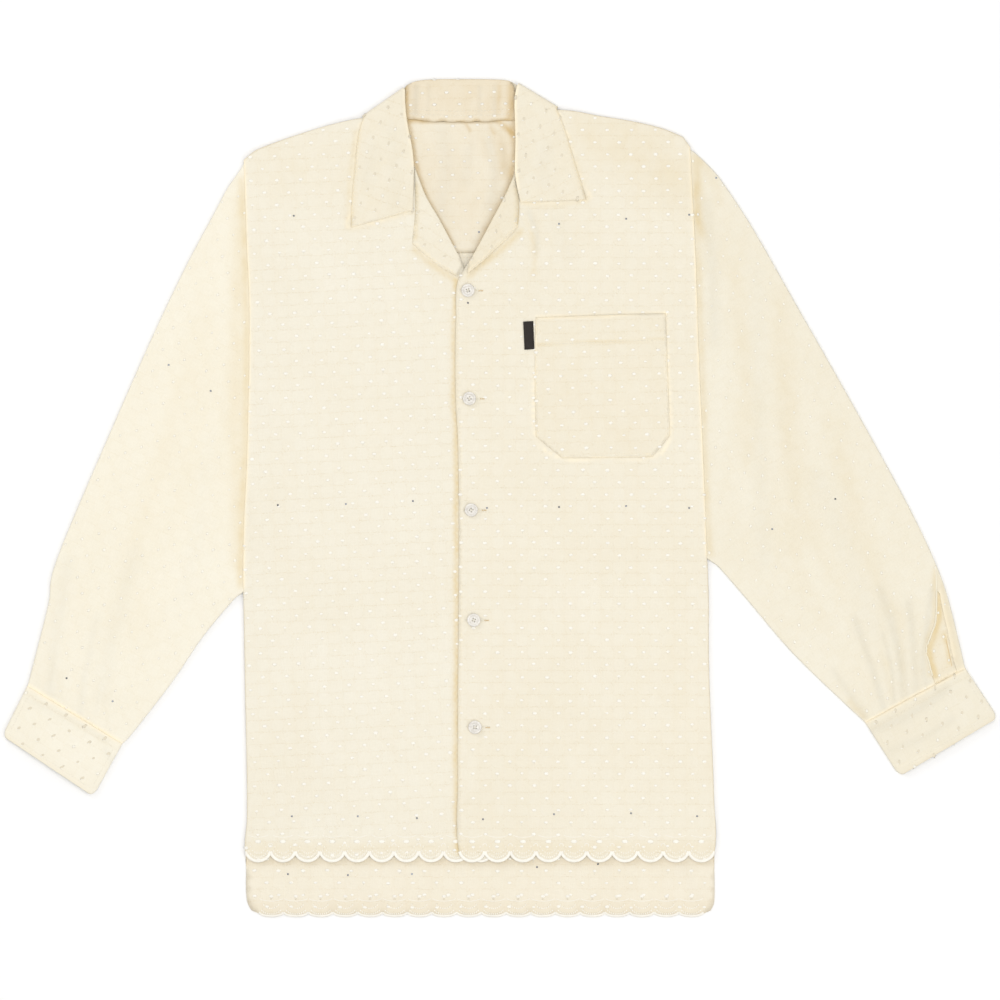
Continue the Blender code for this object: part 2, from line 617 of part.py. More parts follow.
POCKET = [(54.4, 171.3), (95.0, 172.7), (136.0, 174.2), (176.3, 175.2), (178.2, 125.0),
          (180.4, 60.4), (163.6, 40.4), (121.0, 39.6), (78.9, 39.3), (54.4, 59.6), (53.4, 121.7)]
TAB = [(42.5, 167.5), (52.0, 168.2), (53.0, 141.8), (43.7, 141.1)]


def build_pocket(mat):
    def height(x, y):
        full = np.minimum(smooth((x - 54) / 22) * smooth((180 - x) / 22), smooth((y - 40) / 20))
        return on_front(x, y) + 0.5 * full
    on_front = over("left_front", left_front_z)
    panel("pocket", [(x, y, 0) for x, y in POCKET], height, mat)


def build_tab(mat):
    panel("label_tab", [(x, y, 0) for x, y in TAB], over("left_front", left_front_z), mat,
          wall=0.8)


def build_placket(mat):
    """Strip at the slit of the left sleeve, on the sleeve beside its outer edge."""
    strip = [(421.5, -88.0, 0), (434.5, -92.0, 0), (440.5, -117.0, 0), (447.0, -146.0, 0),
             (434.5, -153.0, 0), (428.0, -122.0, 0)]

    on_sleeve = over("left_sleeve", lambda x, y: np.full(np.shape(x), 4.0), PITCH + 0.2)
    panel("left_sleeve_placket", strip, on_sleeve, mat, step=20.0)


def build_button(number, x, y, mat):
    """A turned button with a raised rim, flat on the left front."""
    ring = [(x + BUTTON_RADIUS * math.cos(a), y + BUTTON_RADIUS * math.sin(a))
            for a in np.linspace(0, 2 * math.pi, 16, endpoint=False)]
    base = max(float(left_front_z(*p)) for p in ring + [(x, y)]) + WALL / 2 + GAP
    h, r = BUTTON_HEIGHT, BUTTON_RADIUS
    profile = [(0.0, h - 1.0), (r - 2.3, h - 0.9), (r - 1.5, h - 0.1), (r - 0.8, h),
               (r - 0.1, h - 0.5), (r, 0.9), (r - 1.2, 0.0), (0.0, 0.0)]
    obj = add_object(f"button_{number}", [(px, 0.0, pz) for px, pz in profile], [], mat, wall=0,
                     edges=[(k, k + 1) for k in range(len(profile) - 1)])
    obj.location = (x * MM, y * MM, base * MM)
    turned = obj.modifiers.new("turned", "SCREW")
    turned.steps = turned.render_steps = 20
    turned.use_merge_vertices = True
    turned.merge_threshold = 0.0001


def build():
    for obj in list(bpy.data.objects):
        bpy.data.objects.remove(obj, do_unlink=True)
    if "lace_shirt" not in bpy.data.collections:
        bpy.context.scene.collection.children.link(bpy.data.collections.new("lace_shirt"))
    cotton, inside_cotton = material("cotton"), material("cotton_inside")
    build_back(inside_cotton)
    build_yoke(inside_cotton)
    build_right_front(cotton)
    build_left_front(cotton)
    build_lapels(cotton)
    build_collar_stand(inside_cotton)
    build_collar(cotton)
    build_sleeve("right_sleeve", RIGHT_SLEEVE_OUTER, RIGHT_SLEEVE_LOWER, cotton)
    build_sleeve("left_sleeve", LEFT_SLEEVE_OUTER, LEFT_SLEEVE_LOWER, cotton)
    build_cuff("right_cuff", RIGHT_CUFF_OUTER, RIGHT_CUFF_LOWER, cotton)
    build_cuff("left_cuff", LEFT_CUFF_OUTER, LEFT_CUFF_LOWER, cotton)
    build_placket(cotton)
    build_pocket(cotton)
    build_tab(material("tab", 0.7))
    pearl = material("pearl", 0.25)
    for number, (x, y) in enumerate(BUTTONS, 1):
        build_button(number, x, y, pearl)


build()
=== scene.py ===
"""Lace shirt with a camp collar, laid flat with its front up: cloth, embroidery and light.

Lengths are in millimetres until a mesh is made. +Y runs to the collar, +Z up from the floor.
"""
import math

import bpy
import numpy as np
from mathutils import Matrix, Vector
from mathutils.bvhtree import BVHTree
from mathutils.geometry import delaunay_2d_cdt


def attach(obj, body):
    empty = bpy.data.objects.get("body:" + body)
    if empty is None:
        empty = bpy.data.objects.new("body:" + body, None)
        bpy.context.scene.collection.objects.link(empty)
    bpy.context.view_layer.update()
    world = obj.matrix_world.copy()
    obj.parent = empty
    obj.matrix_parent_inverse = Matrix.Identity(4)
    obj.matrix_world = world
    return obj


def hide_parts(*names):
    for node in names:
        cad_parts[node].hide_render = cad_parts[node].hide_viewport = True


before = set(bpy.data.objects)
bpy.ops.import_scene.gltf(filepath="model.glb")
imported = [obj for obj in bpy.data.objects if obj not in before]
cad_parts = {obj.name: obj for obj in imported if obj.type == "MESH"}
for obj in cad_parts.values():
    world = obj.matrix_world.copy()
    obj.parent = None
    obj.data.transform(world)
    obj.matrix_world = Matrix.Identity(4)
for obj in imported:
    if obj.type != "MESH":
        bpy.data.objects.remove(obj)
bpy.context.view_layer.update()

MM = 0.001
CLOTH = 0.5                 # thickness of the embroidered lawn as it shows
WALL, GAP = 1.0, 0.3        # of the solids, whose layers the cloth keeps
PITCH = WALL + GAP
FLOOR_Z = WALL / 2
LAYERS_ARMHOLE, LAYERS_SIDE, LAYERS_FRONT, LAYERS_NECK = 3.9, 3.0, 2.6, 2.0

LEFT_EDGE = [(-219.9, 319.4), (-218.5, 279.2), (-217.1, 238.8), (-214.9, 190), (-214.9, 122),
             (-215.7, 91), (-217.3, 28), (-219.6, -18), (-220.4, -82), (-220.1, -93),
             (-219.9, -104), (-219.5, -125), (-218.5, -182), (-216.8, -299),
             (-218.2, -331.4)]
RIGHT_EDGE = [(199.3, 331.5), (200.7, 300), (204.4, 227.5), (207.2, 141), (210.1, 72.4),
              (213.3, -5.6), (214.9, -51), (215.5, -62), (216, -73), (216.6, -94),
              (216.6, -147), (218.3, -200), (221.6, -281), (221.8, -331.4)]
LEFT_UNDERARM, RIGHT_UNDERARM = -86, -55
LEFT_SHOULDER = [(-209.6, 327.8), (-198, 332.8), (-163.6, 344.9), (-138, 352.5),
                 (-114, 358), (-107.4, 359)]
RIGHT_SHOULDER = [(192.4, 341), (173.9, 348.6), (141.9, 356.2), (112.8, 360.9),
                  (90, 365.2), (73, 366.8)]
NECK = [(-73.3, 372), (-71.9, 364.7), (-67.7, 359.1), (-45, 356.3), (-17, 355.3),
        (13, 356.3), (30, 359.1), (36.7, 364.7), (38.5, 372)]
YOKE_SEAM_Y = 234
FALL_X, FALL_Y, FALL_RX, FALL_RY = -17, 376, 104, 54

BREAK = (-12.2, 218)
FRONT_EDGE = [(-18.8, 206), (-20.7, 170), (-20.7, 89), (-18.8, 56), (-18.8, -263),
              (-17.5, -331)]
UNDERLAP_X = 14
ROLL_RADIUS = 1.0
BUTTONS = [(-9.4, 196.9), (-8.1, 95.3), (-6.3, -9.4), (-3.9, -112.8), (-2.8, -213.4)]
BUTTON_RADIUS, BUTTON_HEIGHT, BUTTON_SINK = 6.35, 2.6, 1.05
HOLE_SPREAD, HOLE_RADIUS, HOLE_SIDES = 1.55, 0.62, 14

FRONT_HEM_Y, FRONT_SCALLOP, FRONT_SCALLOPS = -331.4, 9.0, 10
BACK_HEM_Y, BACK_SCALLOP, BACK_SCALLOPS = -388.7, 3.3, 18
FRONT_HEMS = {"right_front": (-218.2, UNDERLAP_X), "left_front": (-17.5, 221.8)}
BACK_HEM = (-206.0, 212.0)

RIGHT_SLEEVE_OUTER = [(-220.6, 318.5), (-229.8, 306.0), (-289.5, 188.0), (-342.2, 70.5),
                      (-395.7, -56.4), (-403.4, -97.8), (-420.3, -164.5), (-422.9, -174.4)]
RIGHT_SLEEVE_LOWER = [(-221.2, -82.5), (-258.5, -128.0), (-287.6, -170.8), (-325.2, -219.4),
                      (-334.2, -228.4)]
LEFT_SLEEVE_OUTER = [(200.3, 331.0), (215.3, 318.5), (252.9, 263.5), (301.5, 178.6),
                     (349.5, 94.0), (401.2, 0.0), (428.4, -56.4), (442.5, -95.9), (457.5, -158.0)]
LEFT_SLEEVE_LOWER = [(216.0, -51.5), (221.2, -56.8), (251.9, -92.1), (295.2, -142.9),
                     (345.0, -191.3), (363.9, -208.6)]
RIGHT_CUFF_OUTER = [(-423.1, -174.7), (-446.6, -221.5)]
RIGHT_CUFF_LOWER = [(-334.4, -228.7), (-361.8, -278.2)]
LEFT_CUFF_OUTER = [(457.7, -158.3), (488.2, -204.6)]
LEFT_CUFF_LOWER = [(364.1, -208.9), (396.3, -259.4)]
CUFF_CORNER, CUFF_WALL = 8.0, 0.8

# soft folds: points along the fold, half width, height (a trough is negative)
FRONT_FOLDS = [([(-150, 300), (-120, 60)], 30, 1.3), ([(-90, -60), (-130, -310)], 34, 1.5),
               ([(-60, 190), (-48, -40)], 24, 0.9), ([(110, 20), (150, -300)], 36, 1.5),
               ([(160, 320), (196, 215)], 15, 1.4), ([(62, -40), (58, -300)], 26, 1),
               ([(120, 330), (140, 200)], 26, 0.9)]
FRONT_CREASES = [
    ([(44, 276), (52, 258), (53, 240)], 2.6, 1.1), ([(41, 273), (47, 255), (50, 243)], 2.2, -0.9),
    ([(60, 272), (74, 240), (78, 190)], 6, 0.5), ([(96, 262), (128, 236), (150, 196)], 8, 0.5),
    ([(-60, 238), (-44, 196), (-40, 130)], 7, 0.5),
    ([(-66, 236), (-92, 214), (-120, 206)], 5, 0.35),
    ([(-205, 300), (-196, 250), (-200, 190)], 6, 0.6),
    ([(-208, 60), (-200, -40), (-204, -80)], 7, 0.5),
    ([(-30, 186), (-34, 120), (-28, 60)], 4, 0.45), ([(-28, 20), (-36, -60), (-30, -140)], 5, 0.5),
    ([(-27, -150), (-33, -230), (-28, -320)], 4, 0.4),
    ([(-100, 180), (-112, 60), (-96, -40)], 9, 0.45),
    ([(-170, 150), (-164, 20), (-176, -90)], 9, 0.45),
    ([(-140, -40), (-150, -170), (-138, -300)], 10, 0.55),
    ([(-60, -80), (-68, -200), (-60, -320)], 9, 0.45),
    ([(-190, -120), (-182, -220), (-190, -318)], 8, 0.5),
    ([(12, 186), (20, 140), (18, 96)], 5, 0.45), ([(22, 90), (16, 20), (24, -40)], 6, 0.35),
    ([(14, -20), (26, -60), (24, -104)], 5, 0.45), ([(12, -120), (30, -170), (26, -210)], 6, 0.45),
    ([(10, -222), (22, -262), (18, -316)], 6, 0.4), ([(194, 312), (200, 262), (203, 214)], 5, 0.7),
    ([(190, 200), (196, 110), (200, 20)], 8, 0.55), ([(96, 30), (104, -90), (92, -210)], 10, 0.45),
    ([(160, 24), (170, -120), (160, -260)], 11, 0.55),
    ([(198, -70), (204, -180), (208, -310)], 8, 0.5),
    ([(120, -230), (126, -280), (120, -326)], 7, 0.4),
    ([(60, -200), (56, -260), (62, -322)], 8, 0.4),
    ([(-196, 60), (-120, 52), (-40, 60)], 5, 0.22),
    ([(-200, -60), (-130, -66), (-50, -58)], 6, 0.22),
    ([(40, 22), (110, 16), (190, 24)], 5, 0.22), ([(30, -140), (120, -148), (200, -138)], 6, 0.22),
    ([(-206, 318), (-176, 300), (-160, 262)], 8, 0.6),
    ([(168, 340), (160, 300), (170, 262)], 9, 0.5),
    ([(186, 226), (198, 205), (204, 188)], 3.5, 0.5)]
BACK_CREASES = [
    ([(2, 352), (10, 336), (16, 318)], 3.2, 1.3), ([(14, 353), (22, 334), (24, 300)], 4.5, -1),
    ([(26, 352), (31, 330), (26, 296)], 4, 1.8), ([(-14, 353), (-10, 342), (-4, 334)], 1.8, 1),
    ([(-40, 350), (-36, 300), (-42, 250)], 9, 0.6), ([(-26, 340), (-28, 312), (-22, 290)], 7, 0.5),
    ([(12, 300), (4, 268), (-8, 240)], 6, 0.9), ([(-60, 330), (-52, 296), (-40, 262)], 5, 0.5),
    ([(-150, -345), (-146, -366), (-150, -386)], 6, 0.4),
    ([(40, -342), (44, -362), (40, -384)], 7, 0.4),
    ([(-60, -342), (-56, -362), (-62, -384)], 6, 0.35),
    ([(150, -342), (158, -362), (152, -386)], 7, 0.5),
    ([(198, -340), (206, -360), (200, -384)], 5, 0.4)]
RIGHT_SLEEVE_CREASES = [
    ([(-232, 280), (-240, 190), (-252, 60), (-268, -60)], 9, 1.6),
    ([(-244, 250), (-262, 130), (-300, -20), (-344, -170)], 10, 1.9),
    ([(-258, 232), (-290, 120), (-338, -20), (-372, -150)], 13, 1.3),
    ([(-226, 120), (-232, 20), (-238, -70)], 6, 1.2),
    ([(-226, 240), (-230, 150), (-232, 80)], 5, -0.8),
    ([(-288, 40), (-318, -60), (-340, -150)], 8, 1),
    ([(-352, 20), (-384, -90), (-398, -150)], 9, 1.1),
    ([(-300, -80), (-322, -140), (-338, -196)], 7, 1),
    ([(-262, -60), (-290, -120), (-316, -176)], 8, 0.9),
    ([(-306, 120), (-338, 30), (-362, -60)], 10, 0.6)]
RIGHT_CUFF_PUCKERS = [
    ([(-408, -140), (-413, -164), (-416, -177)], 4, 1.2),
    ([(-392, -136), (-398, -168), (-401, -186)], 4, 1.4),
    ([(-380, -140), (-386, -176), (-389, -194)], 3.5, 1.2),
    ([(-366, -148), (-370, -182), (-374, -203)], 4, 1.5),
    ([(-350, -160), (-356, -192), (-360, -211)], 3.5, 1.2),
    ([(-340, -176), (-345, -202), (-348, -219)], 3, 1)]
LEFT_SLEEVE_CREASES = [
    ([(207, 322), (222, 282), (226, 250), (214, 205)], 5, 1.9),
    ([(204, 300), (212, 270), (213, 246)], 3.5, -1.2),
    ([(232, 290), (240, 240), (232, 190)], 6, 1.2), ([(224, 190), (228, 90), (224, 0)], 7, 1.3),
    ([(264, 214), (270, 110), (294, -10), (348, -130), (390, -189)], 9, 2),
    ([(300, 160), (318, 50), (360, -70), (400, -180)], 12, 1.3),
    ([(240, 60), (262, -40), (310, -130)], 10, 1.1), ([(336, 100), (370, 0), (400, -90)], 12, 0.8),
    ([(280, 30), (320, -80), (366, -168)], 7, 1)]
LEFT_CUFF_PUCKERS = [
    ([(344, -150), (362, -182), (374, -202)], 4.5, 1.6),
    ([(366, -120), (378, -160), (385, -197)], 5, 2),
    ([(384, -92), (390, -140), (393, -193)], 5.5, 2.4),
    ([(402, -84), (404, -140), (407, -186)], 5, 2.2),
    ([(340, -186), (352, -196), (364, -204)], 3.5, 1.5),
    ([(418, -120), (420, -150), (421, -180)], 4, 1.6),
    ([(380, -140), (388, -172), (389, -195)], 2.5, -1.4),
    ([(396, -130), (400, -166), (400, -190)], 2.5, -1.6)]


def put(name, data):
    """A new object in the scene."""
    obj = bpy.data.objects.new(name, data)
    bpy.context.scene.collection.objects.link(obj)
    return obj


def smooth(t):
    t = np.clip(t, 0.0, 1.0)
    return t * t * (3 - 2 * t)


def along(table, y):
    xs, ys = zip(*table)
    return np.interp(-np.asarray(y, float), [-v for v in ys], xs)


def fold(x, y, path, half, height):
    """A soft fold along a path, highest at its middle and gone at its ends."""
    x, y = np.asarray(x, float), np.asarray(y, float)
    pts = np.array(bend(path, 4), float)
    runs = np.linalg.norm(np.diff(pts, axis=0), axis=1)
    total, done = runs.sum(), 0.0
    near, place = np.full(np.shape(x), 1e9), np.zeros(np.shape(x))
    for a, b, run in zip(pts, pts[1:], runs):
        d = (b - a) / run
        t = (x - a[0]) * d[0] + (y - a[1]) * d[1]
        t = np.clip(t, 0, run)
        off = np.hypot(x - a[0] - t * d[0], y - a[1] - t * d[1])
        closer = off < near
        near, place = np.where(closer, off, near), np.where(closer, (done + t) / total, place)
        done += run
    return height * np.exp(-(near / half) ** 2) * np.clip(np.sin(math.pi * place), 0, 1) ** 0.6


def bend(path, steps):
    """Points of a smooth curve through a path."""
    if len(path) < 3:
        return path
    p = [path[0]] + list(path) + [path[-1]]
    out = []
    for k in range(1, len(p) - 2):
        a, b, c, d = (np.array(q, float) for q in p[k - 1:k + 3])
        for s in range(steps):
            t = s / steps
            out.append(tuple(0.5 * (2 * b + (c - a) * t + (2 * a - 5 * b + 4 * c - d) * t ** 2
                                    + (3 * b - a - 3 * c + d) * t ** 3)))
    return out + [tuple(path[-1])]


def folds(x, y, table):
    return sum(fold(x, y, *one) for one in table)


def ridge(x, y, path, half, height):
    (ax, ay), (bx, by) = path
    length = math.hypot(bx - ax, by - ay)
    ux, uy = (bx - ax) / length, (by - ay) / length
    t = ((x - ax) * ux + (y - ay) * uy) / length
    across = (x - ax) * uy - (y - ay) * ux
    return height * np.exp(-(across / half) ** 2) * np.exp(
        -(np.maximum(np.abs(t - 0.5) - 0.35, 0) / 0.22) ** 2)


def ripple(x, y, size, height, seed):
    """Uneven hand of soft cotton: a few crossed waves of unlike lengths."""
    rng = np.random.default_rng(seed)
    total = 0
    for k in range(9):
        angle, length = rng.uniform(0, math.pi), size * rng.uniform(0.6, 1.9)
        phase = rng.uniform(0, 6.28)
        total = total + np.sin((x * math.cos(angle) + y * math.sin(angle)) / length * 6.28 + phase)
    return height * total / 3


def fall_distance(x, y):
    return np.hypot((x - FALL_X) / FALL_RX, (y - FALL_Y) / FALL_RY)


def flat_back_z(x, y):
    """The back on the floor, and over the collar's fall at the neck."""
    return FLOOR_Z + PITCH * (1 - smooth((fall_distance(x, y) - 1.0) / 0.5))


def back_z(x, y):
    """Creases only where the back shows: in the neck opening and below the front's hem."""
    x, y = np.asarray(x, float), np.asarray(y, float)
    inner = smooth((x + 74) / 14) * smooth((46 - x) / 12)
    show = inner * smooth((y - 222) / 20) * (1 - 0.75 * smooth((y - 340) / 14))
    hem = 1 - smooth((y + 352) / 10)
    crease = 0.55 * folds(x, y, BACK_CREASES) * np.maximum(show, 0.8 * hem)
    soft = ripple(x, y, 34, 0.14, 5) * np.maximum(show, hem)
    return flat_back_z(x, y) + np.maximum(crease, -0.15) + np.maximum(soft, -0.1)


def side_layers(y, underarm):
    """Layers under the front's side: more of them above the underarm, beside the sleeve."""
    return LAYERS_SIDE + (LAYERS_ARMHOLE - LAYERS_SIDE) * smooth((y - underarm + 4) / 8)


def nearness_to_neck(x, y):
    return 1 - smooth((fall_distance(x, y) - 1.12) / 0.6)


def front_z(x, y):
    x, y = np.asarray(x, float), np.asarray(y, float)
    to_left, to_right = x - along(LEFT_EDGE, y), along(RIGHT_EDGE, y) - x
    edge = np.maximum(np.minimum(to_left, to_right), 0)
    underarm = np.where(to_left < to_right, LEFT_UNDERARM, RIGHT_UNDERARM)
    layers = side_layers(y, underarm)
    inner = LAYERS_FRONT + sum(ridge(x, y, *one) for one in FRONT_FOLDS)
    layers = layers + (inner - layers) * smooth(edge / 60)
    near_neck = nearness_to_neck(x, y)
    base = flat_back_z(x, y) + layers + (LAYERS_NECK - layers) * near_neck
    free = smooth(edge / 14) * (1 - near_neck) * smooth((y + 345) / 20)
    crease = (0.6 * folds(x, y, FRONT_CREASES) + ripple(x, y, 24, 0.09, 11)
              + ripple(x, y, 58, 0.18, 12))
    return base + crease * (0.15 + 0.85 * free)


def left_front_z(x, y):
    return front_z(x, y) + PITCH * (1 - smooth((np.asarray(x, float) - 26.0) / 26.0))


def seam_radius(x, y):
    """Half the room between front and back, from the layers alone."""
    x, y = np.asarray(x, float), np.asarray(y, float)
    layers = side_layers(y, np.where(x > 0, RIGHT_UNDERARM, LEFT_UNDERARM))
    within = smooth((200 - np.abs(x)) / 60)
    layers = np.where(y > 300, LAYERS_FRONT * within + layers * (1 - within), layers)
    return (layers + (LAYERS_NECK - layers) * nearness_to_neck(x, y)) / 2


SURFACES, PIECES = {}, {}
RAY_TOP, RAY_LOW = 60.0, -20.0          # where rays start, clear of every piece
UP, DOWN = (0.0, 0.0, 1.0), (0.0, 0.0, -1.0)


def over(name, base, step=CLOTH + 0.06):
    """Height of a piece that lies on another, from the other's own surface."""
    def height(x, y):
        x, y = np.atleast_1d(np.asarray(x, float)), np.atleast_1d(np.asarray(y, float))
        hits = [SURFACES[name].ray_cast((px, py, RAY_TOP), DOWN)[0] for px, py in zip(x, y)]
        z = np.array([np.nan if hit is None else hit.z for hit in hits])
        missed = np.isnan(z)
        if missed.any():
            z[missed] = base(x[missed], y[missed])
        return z + step
    return height


def turned_grain(angle, u0=0.0, v0=0.0):
    """Cloth cut at an angle, its figure centred on the dot at (u0, v0)."""
    c, s = math.cos(math.radians(angle)), math.sin(math.radians(angle))
    return lambda x, y: (x * c + y * s - u0, -x * s + y * c - v0)


# how each piece was cut: angle of its grain, and one dot of its figure
CUTS = {"left_front": (0, 98.4, -63.1), "right_front": (2.7, -163.9, -111.4),
        "back": (0, 98.4, -63.1), "back_yoke": (0.6, -43, 261),
        "collar_stand": (1, -23, 383.5), "pocket": (1.5, 92, -34),
        "right_sleeve": (-26.4, 4, 7), "left_sleeve": (32.3, -3, 2),
        "left_sleeve_placket": (12, 0, 0), "collar": (20, 3, 5),
        "right_lapel": (-32, 2, 3), "left_lapel": (30, 2, 3),
        "right_cuff": (-30, 1, 2), "left_cuff": (30, 5, 3), "label_tab": (2, 0, 0)}


# how warm each piece reads beside the palest sleeve
TONES = {"left_front": 0.12, "right_front": 0.05, "left_sleeve": 0.08, "back_yoke": 0.08,
         "collar_stand": 0.24, "collar": 0.20, "right_lapel": 0.14, "left_lapel": 0.28,
         "pocket": 0.20, "left_cuff": 0.10, "left_sleeve_placket": 0.34}
# painted grey shade, over a whole piece and where light falls away from its folds: even share, then
# lines of (points, half width, strength)
GREY_SHADE = {
    "left_cuff": (0.24, [([(372, -216), (404, -202), (440, -178)], 5, 0.28),
        ([(386, -236), (420, -222), (446, -206)], 4, 0.18),
        ([(398, -250), (440, -232)], 3, -0.12)]),
    "right_cuff": (0.0, [([(-424, -186), (-390, -204), (-350, -226)], 4, 0.14),
        ([(-350, -236), (-342, -250)], 4, 0.2)]),
    "collar_stand": (0.0, [([(-58, 388), (-59, 362)], 3.2, 0.45),
        ([(-46, 390), (-47, 366)], 2.2, 0.2), ([(2, 388), (1.4, 364)], 2.0, 0.3),
        ([(16, 389), (15.4, 362)], 2.2, 0.3)]),
    "back_yoke": (0.04, [([(-34, 346), (-30, 312), (-36, 268)], 8, 0.2),
        ([(-8, 330), (-12, 300)], 6, 0.18), ([(10, 336), (16, 306), (10, 276)], 5, 0.26),
        ([(24, 332), (26, 306)], 3, 0.25)]),
    "collar": (0.0, [([(-104, 300), (-98, 330)], 8, 0.12), ([(60, 300), (64, 330)], 8, 0.12),
        ([(-80, 276), (-78, 320), (-82, 350)], 7, 0.1)]),
    "left_sleeve": (0.2, [([(381, -196), (371, -160), (354, -112)], 3.4, 0.34),
        ([(401, -184), (395, -140), (378, -84)], 4.5, 0.3),
        ([(391, -190), (388, -156), (380, -126)], 2.2, 0.3),
        ([(412, -178), (410, -140), (404, -96)], 4.0, 0.26),
        ([(421, -172), (418, -150), (422, -118), (426, -84)], 3.0, 0.3),
        ([(366, -206), (350, -184), (334, -160)], 3.4, 0.22),
        ([(214, 280), (220, 220), (222, 150)], 6, 0.22),
        ([(262, 214), (264, 100), (268, -60)], 8, 0.1),
        ([(320, 20), (350, -60), (372, -120)], 10, 0.1)]),
    "right_sleeve": (0.0, [([(-352, -186), (-344, -130), (-322, -50)], 8, 0.14),
        ([(-402, -186), (-398, -140), (-386, -60)], 7, 0.16),
        ([(-374, -200), (-368, -160), (-358, -110)], 4, 0.16),
        ([(-252, 60), (-262, -20), (-276, -90)], 8, 0.07)]),
    "left_front": (0.0, [([(48, 270), (55, 250), (54, 232)], 2.6, 0.35),
        ([(74, 262), (84, 226)], 7, 0.08)]),
    "back": (0.06, [([(196, -346), (204, -376)], 7, 0.1)])}


def lines_of(table, name, x, y):
    """Share of a tint at each point: even over the piece, then stronger along its lines."""
    even, lines = table.get(name, (0.0, ()))
    total = np.full(np.shape(x), even)
    for path, half, strength in lines:
        total = total + strength * np.exp(-(near_path(x, y, bend(path, 4)) / half) ** 2)
    return np.clip(total, 0, 1)


def cloth_object(name, verts, faces, mat, grain, warm, wall=CLOTH):
    """A cloth piece with its grain as a UV map in metres, and its painted warm shade, painted grey
    shade and painted gold highlights as attributes.
    """
    mesh = bpy.data.meshes.new(name + "_cloth")
    mesh.from_pydata([tuple(c * MM for c in v) for v in verts], [], faces)
    mesh.validate()
    pts = np.array(verts, float)
    u, v = grain(pts[:, 0], pts[:, 1])
    layer = mesh.uv_layers.new(name="grain")
    loops = np.array([loop.vertex_index for loop in mesh.loops])
    uv = np.stack([np.asarray(u)[loops], np.asarray(v)[loops]], axis=1) * MM
    layer.data.foreach_set("uv", uv.ravel())
    # warm: painted warm shade plus the piece's even warm tone; grey: painted grey shade; gold:
    # painted highlight
    depth = mesh.attributes.new("warm", "FLOAT", "POINT")
    depth.data.foreach_set("value", np.clip(warm + TONES.get(name, 0.0), 0, 1))
    for label, table in (("grey", GREY_SHADE), ("gold", GOLD)):
        tint = mesh.attributes.new(label, "FLOAT", "POINT")
        tint.data.foreach_set("value", lines_of(table, name, pts[:, 0], pts[:, 1]))
    mesh.shade_smooth()
    obj = put(name + "_cloth", mesh)
    mesh.materials.append(mat)
    cloth = obj.modifiers.new("cloth", "SOLIDIFY")
    cloth.thickness = wall * MM
    cloth.offset = 0.0
    cloth.use_quality_normals = True
    SURFACES[name] = BVHTree.FromPolygons(verts, faces)
    PIECES[name] = obj
    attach(obj, "root")
    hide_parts(name)
    return obj


def inside(loop, points):
    px, py = points[:, 0], points[:, 1]
    hit = np.zeros(len(points), bool)
    for (ax, ay), (bx, by) in zip(loop, np.roll(loop, -1, axis=0)):
        crosses = (ay > py) != (by > py)
        with np.errstate(divide="ignore", invalid="ignore"):
            hit ^= crosses & (px < (bx - ax) * (py - ay) / (by - ay) + ax)
    return hit


def clearance(loop, points):
    best = np.full(len(points), 1e9)
    for a, b in zip(loop, np.roll(loop, -1, axis=0)):
        d = b - a
        t = np.clip(((points - a) @ d) / (d @ d), 0, 1)
        best = np.minimum(best, np.linalg.norm(points - a - t[:, None] * d, axis=1))
    return best


def roll_profile(radius):
    end = 60.0
    for _ in range(30):
        reach = (0.12 + CLOTH / 2 * math.cos(math.radians(end - 6))) / radius
        end = math.degrees(math.acos(min(reach, 0.9)))
    angles = [math.radians(a) for a in np.linspace(end, 0, 7)]
    return [(radius * (math.sin(angles[0]) - math.sin(a)), radius * (1 - math.cos(a)))
            for a in angles]


def refine(outline, spacing):
    """An outline with points every few millimetres, round where its corners are slight."""
    n = len(outline)
    pts = np.array([(p[0], p[1]) for p in outline], float)
    turn = [p[2] for p in outline]
    edge = np.roll(pts, -1, axis=0) - pts
    length = np.linalg.norm(edge, axis=1)
    way = edge / length[:, None]
    corner = [way[(i - 1) % n] @ way[i] < 0.88 for i in range(n)]
    out = []
    for i in range(n):
        j = (i + 1) % n
        steps = max(int(round(length[i] / spacing)), 1)
        a, b = pts[i], pts[j]
        m0 = (way[i] if corner[i] else (way[i] + way[(i - 1) % n]) / 2) * length[i]
        m1 = (way[i] if corner[j] else (way[i] + way[j]) / 2) * length[i]
        for s in range(steps):
            t = s / steps
            h = (2 * t ** 3 - 3 * t ** 2 + 1) * a + (t ** 3 - 2 * t ** 2 + t) * m0 \
                + (3 * t ** 2 - 2 * t ** 3) * b + (t ** 3 - t ** 2) * m1
            if s == 0:
                value = turn[i]
            elif corner[i]:
                value = turn[j] if not corner[j] else (turn[i] if turn[i] and turn[j] else 0)
            elif corner[j]:
                value = turn[i]
            else:
                value = turn[i] + (turn[j] - turn[i]) * t
            out.append((h[0], h[1], value))
    return out


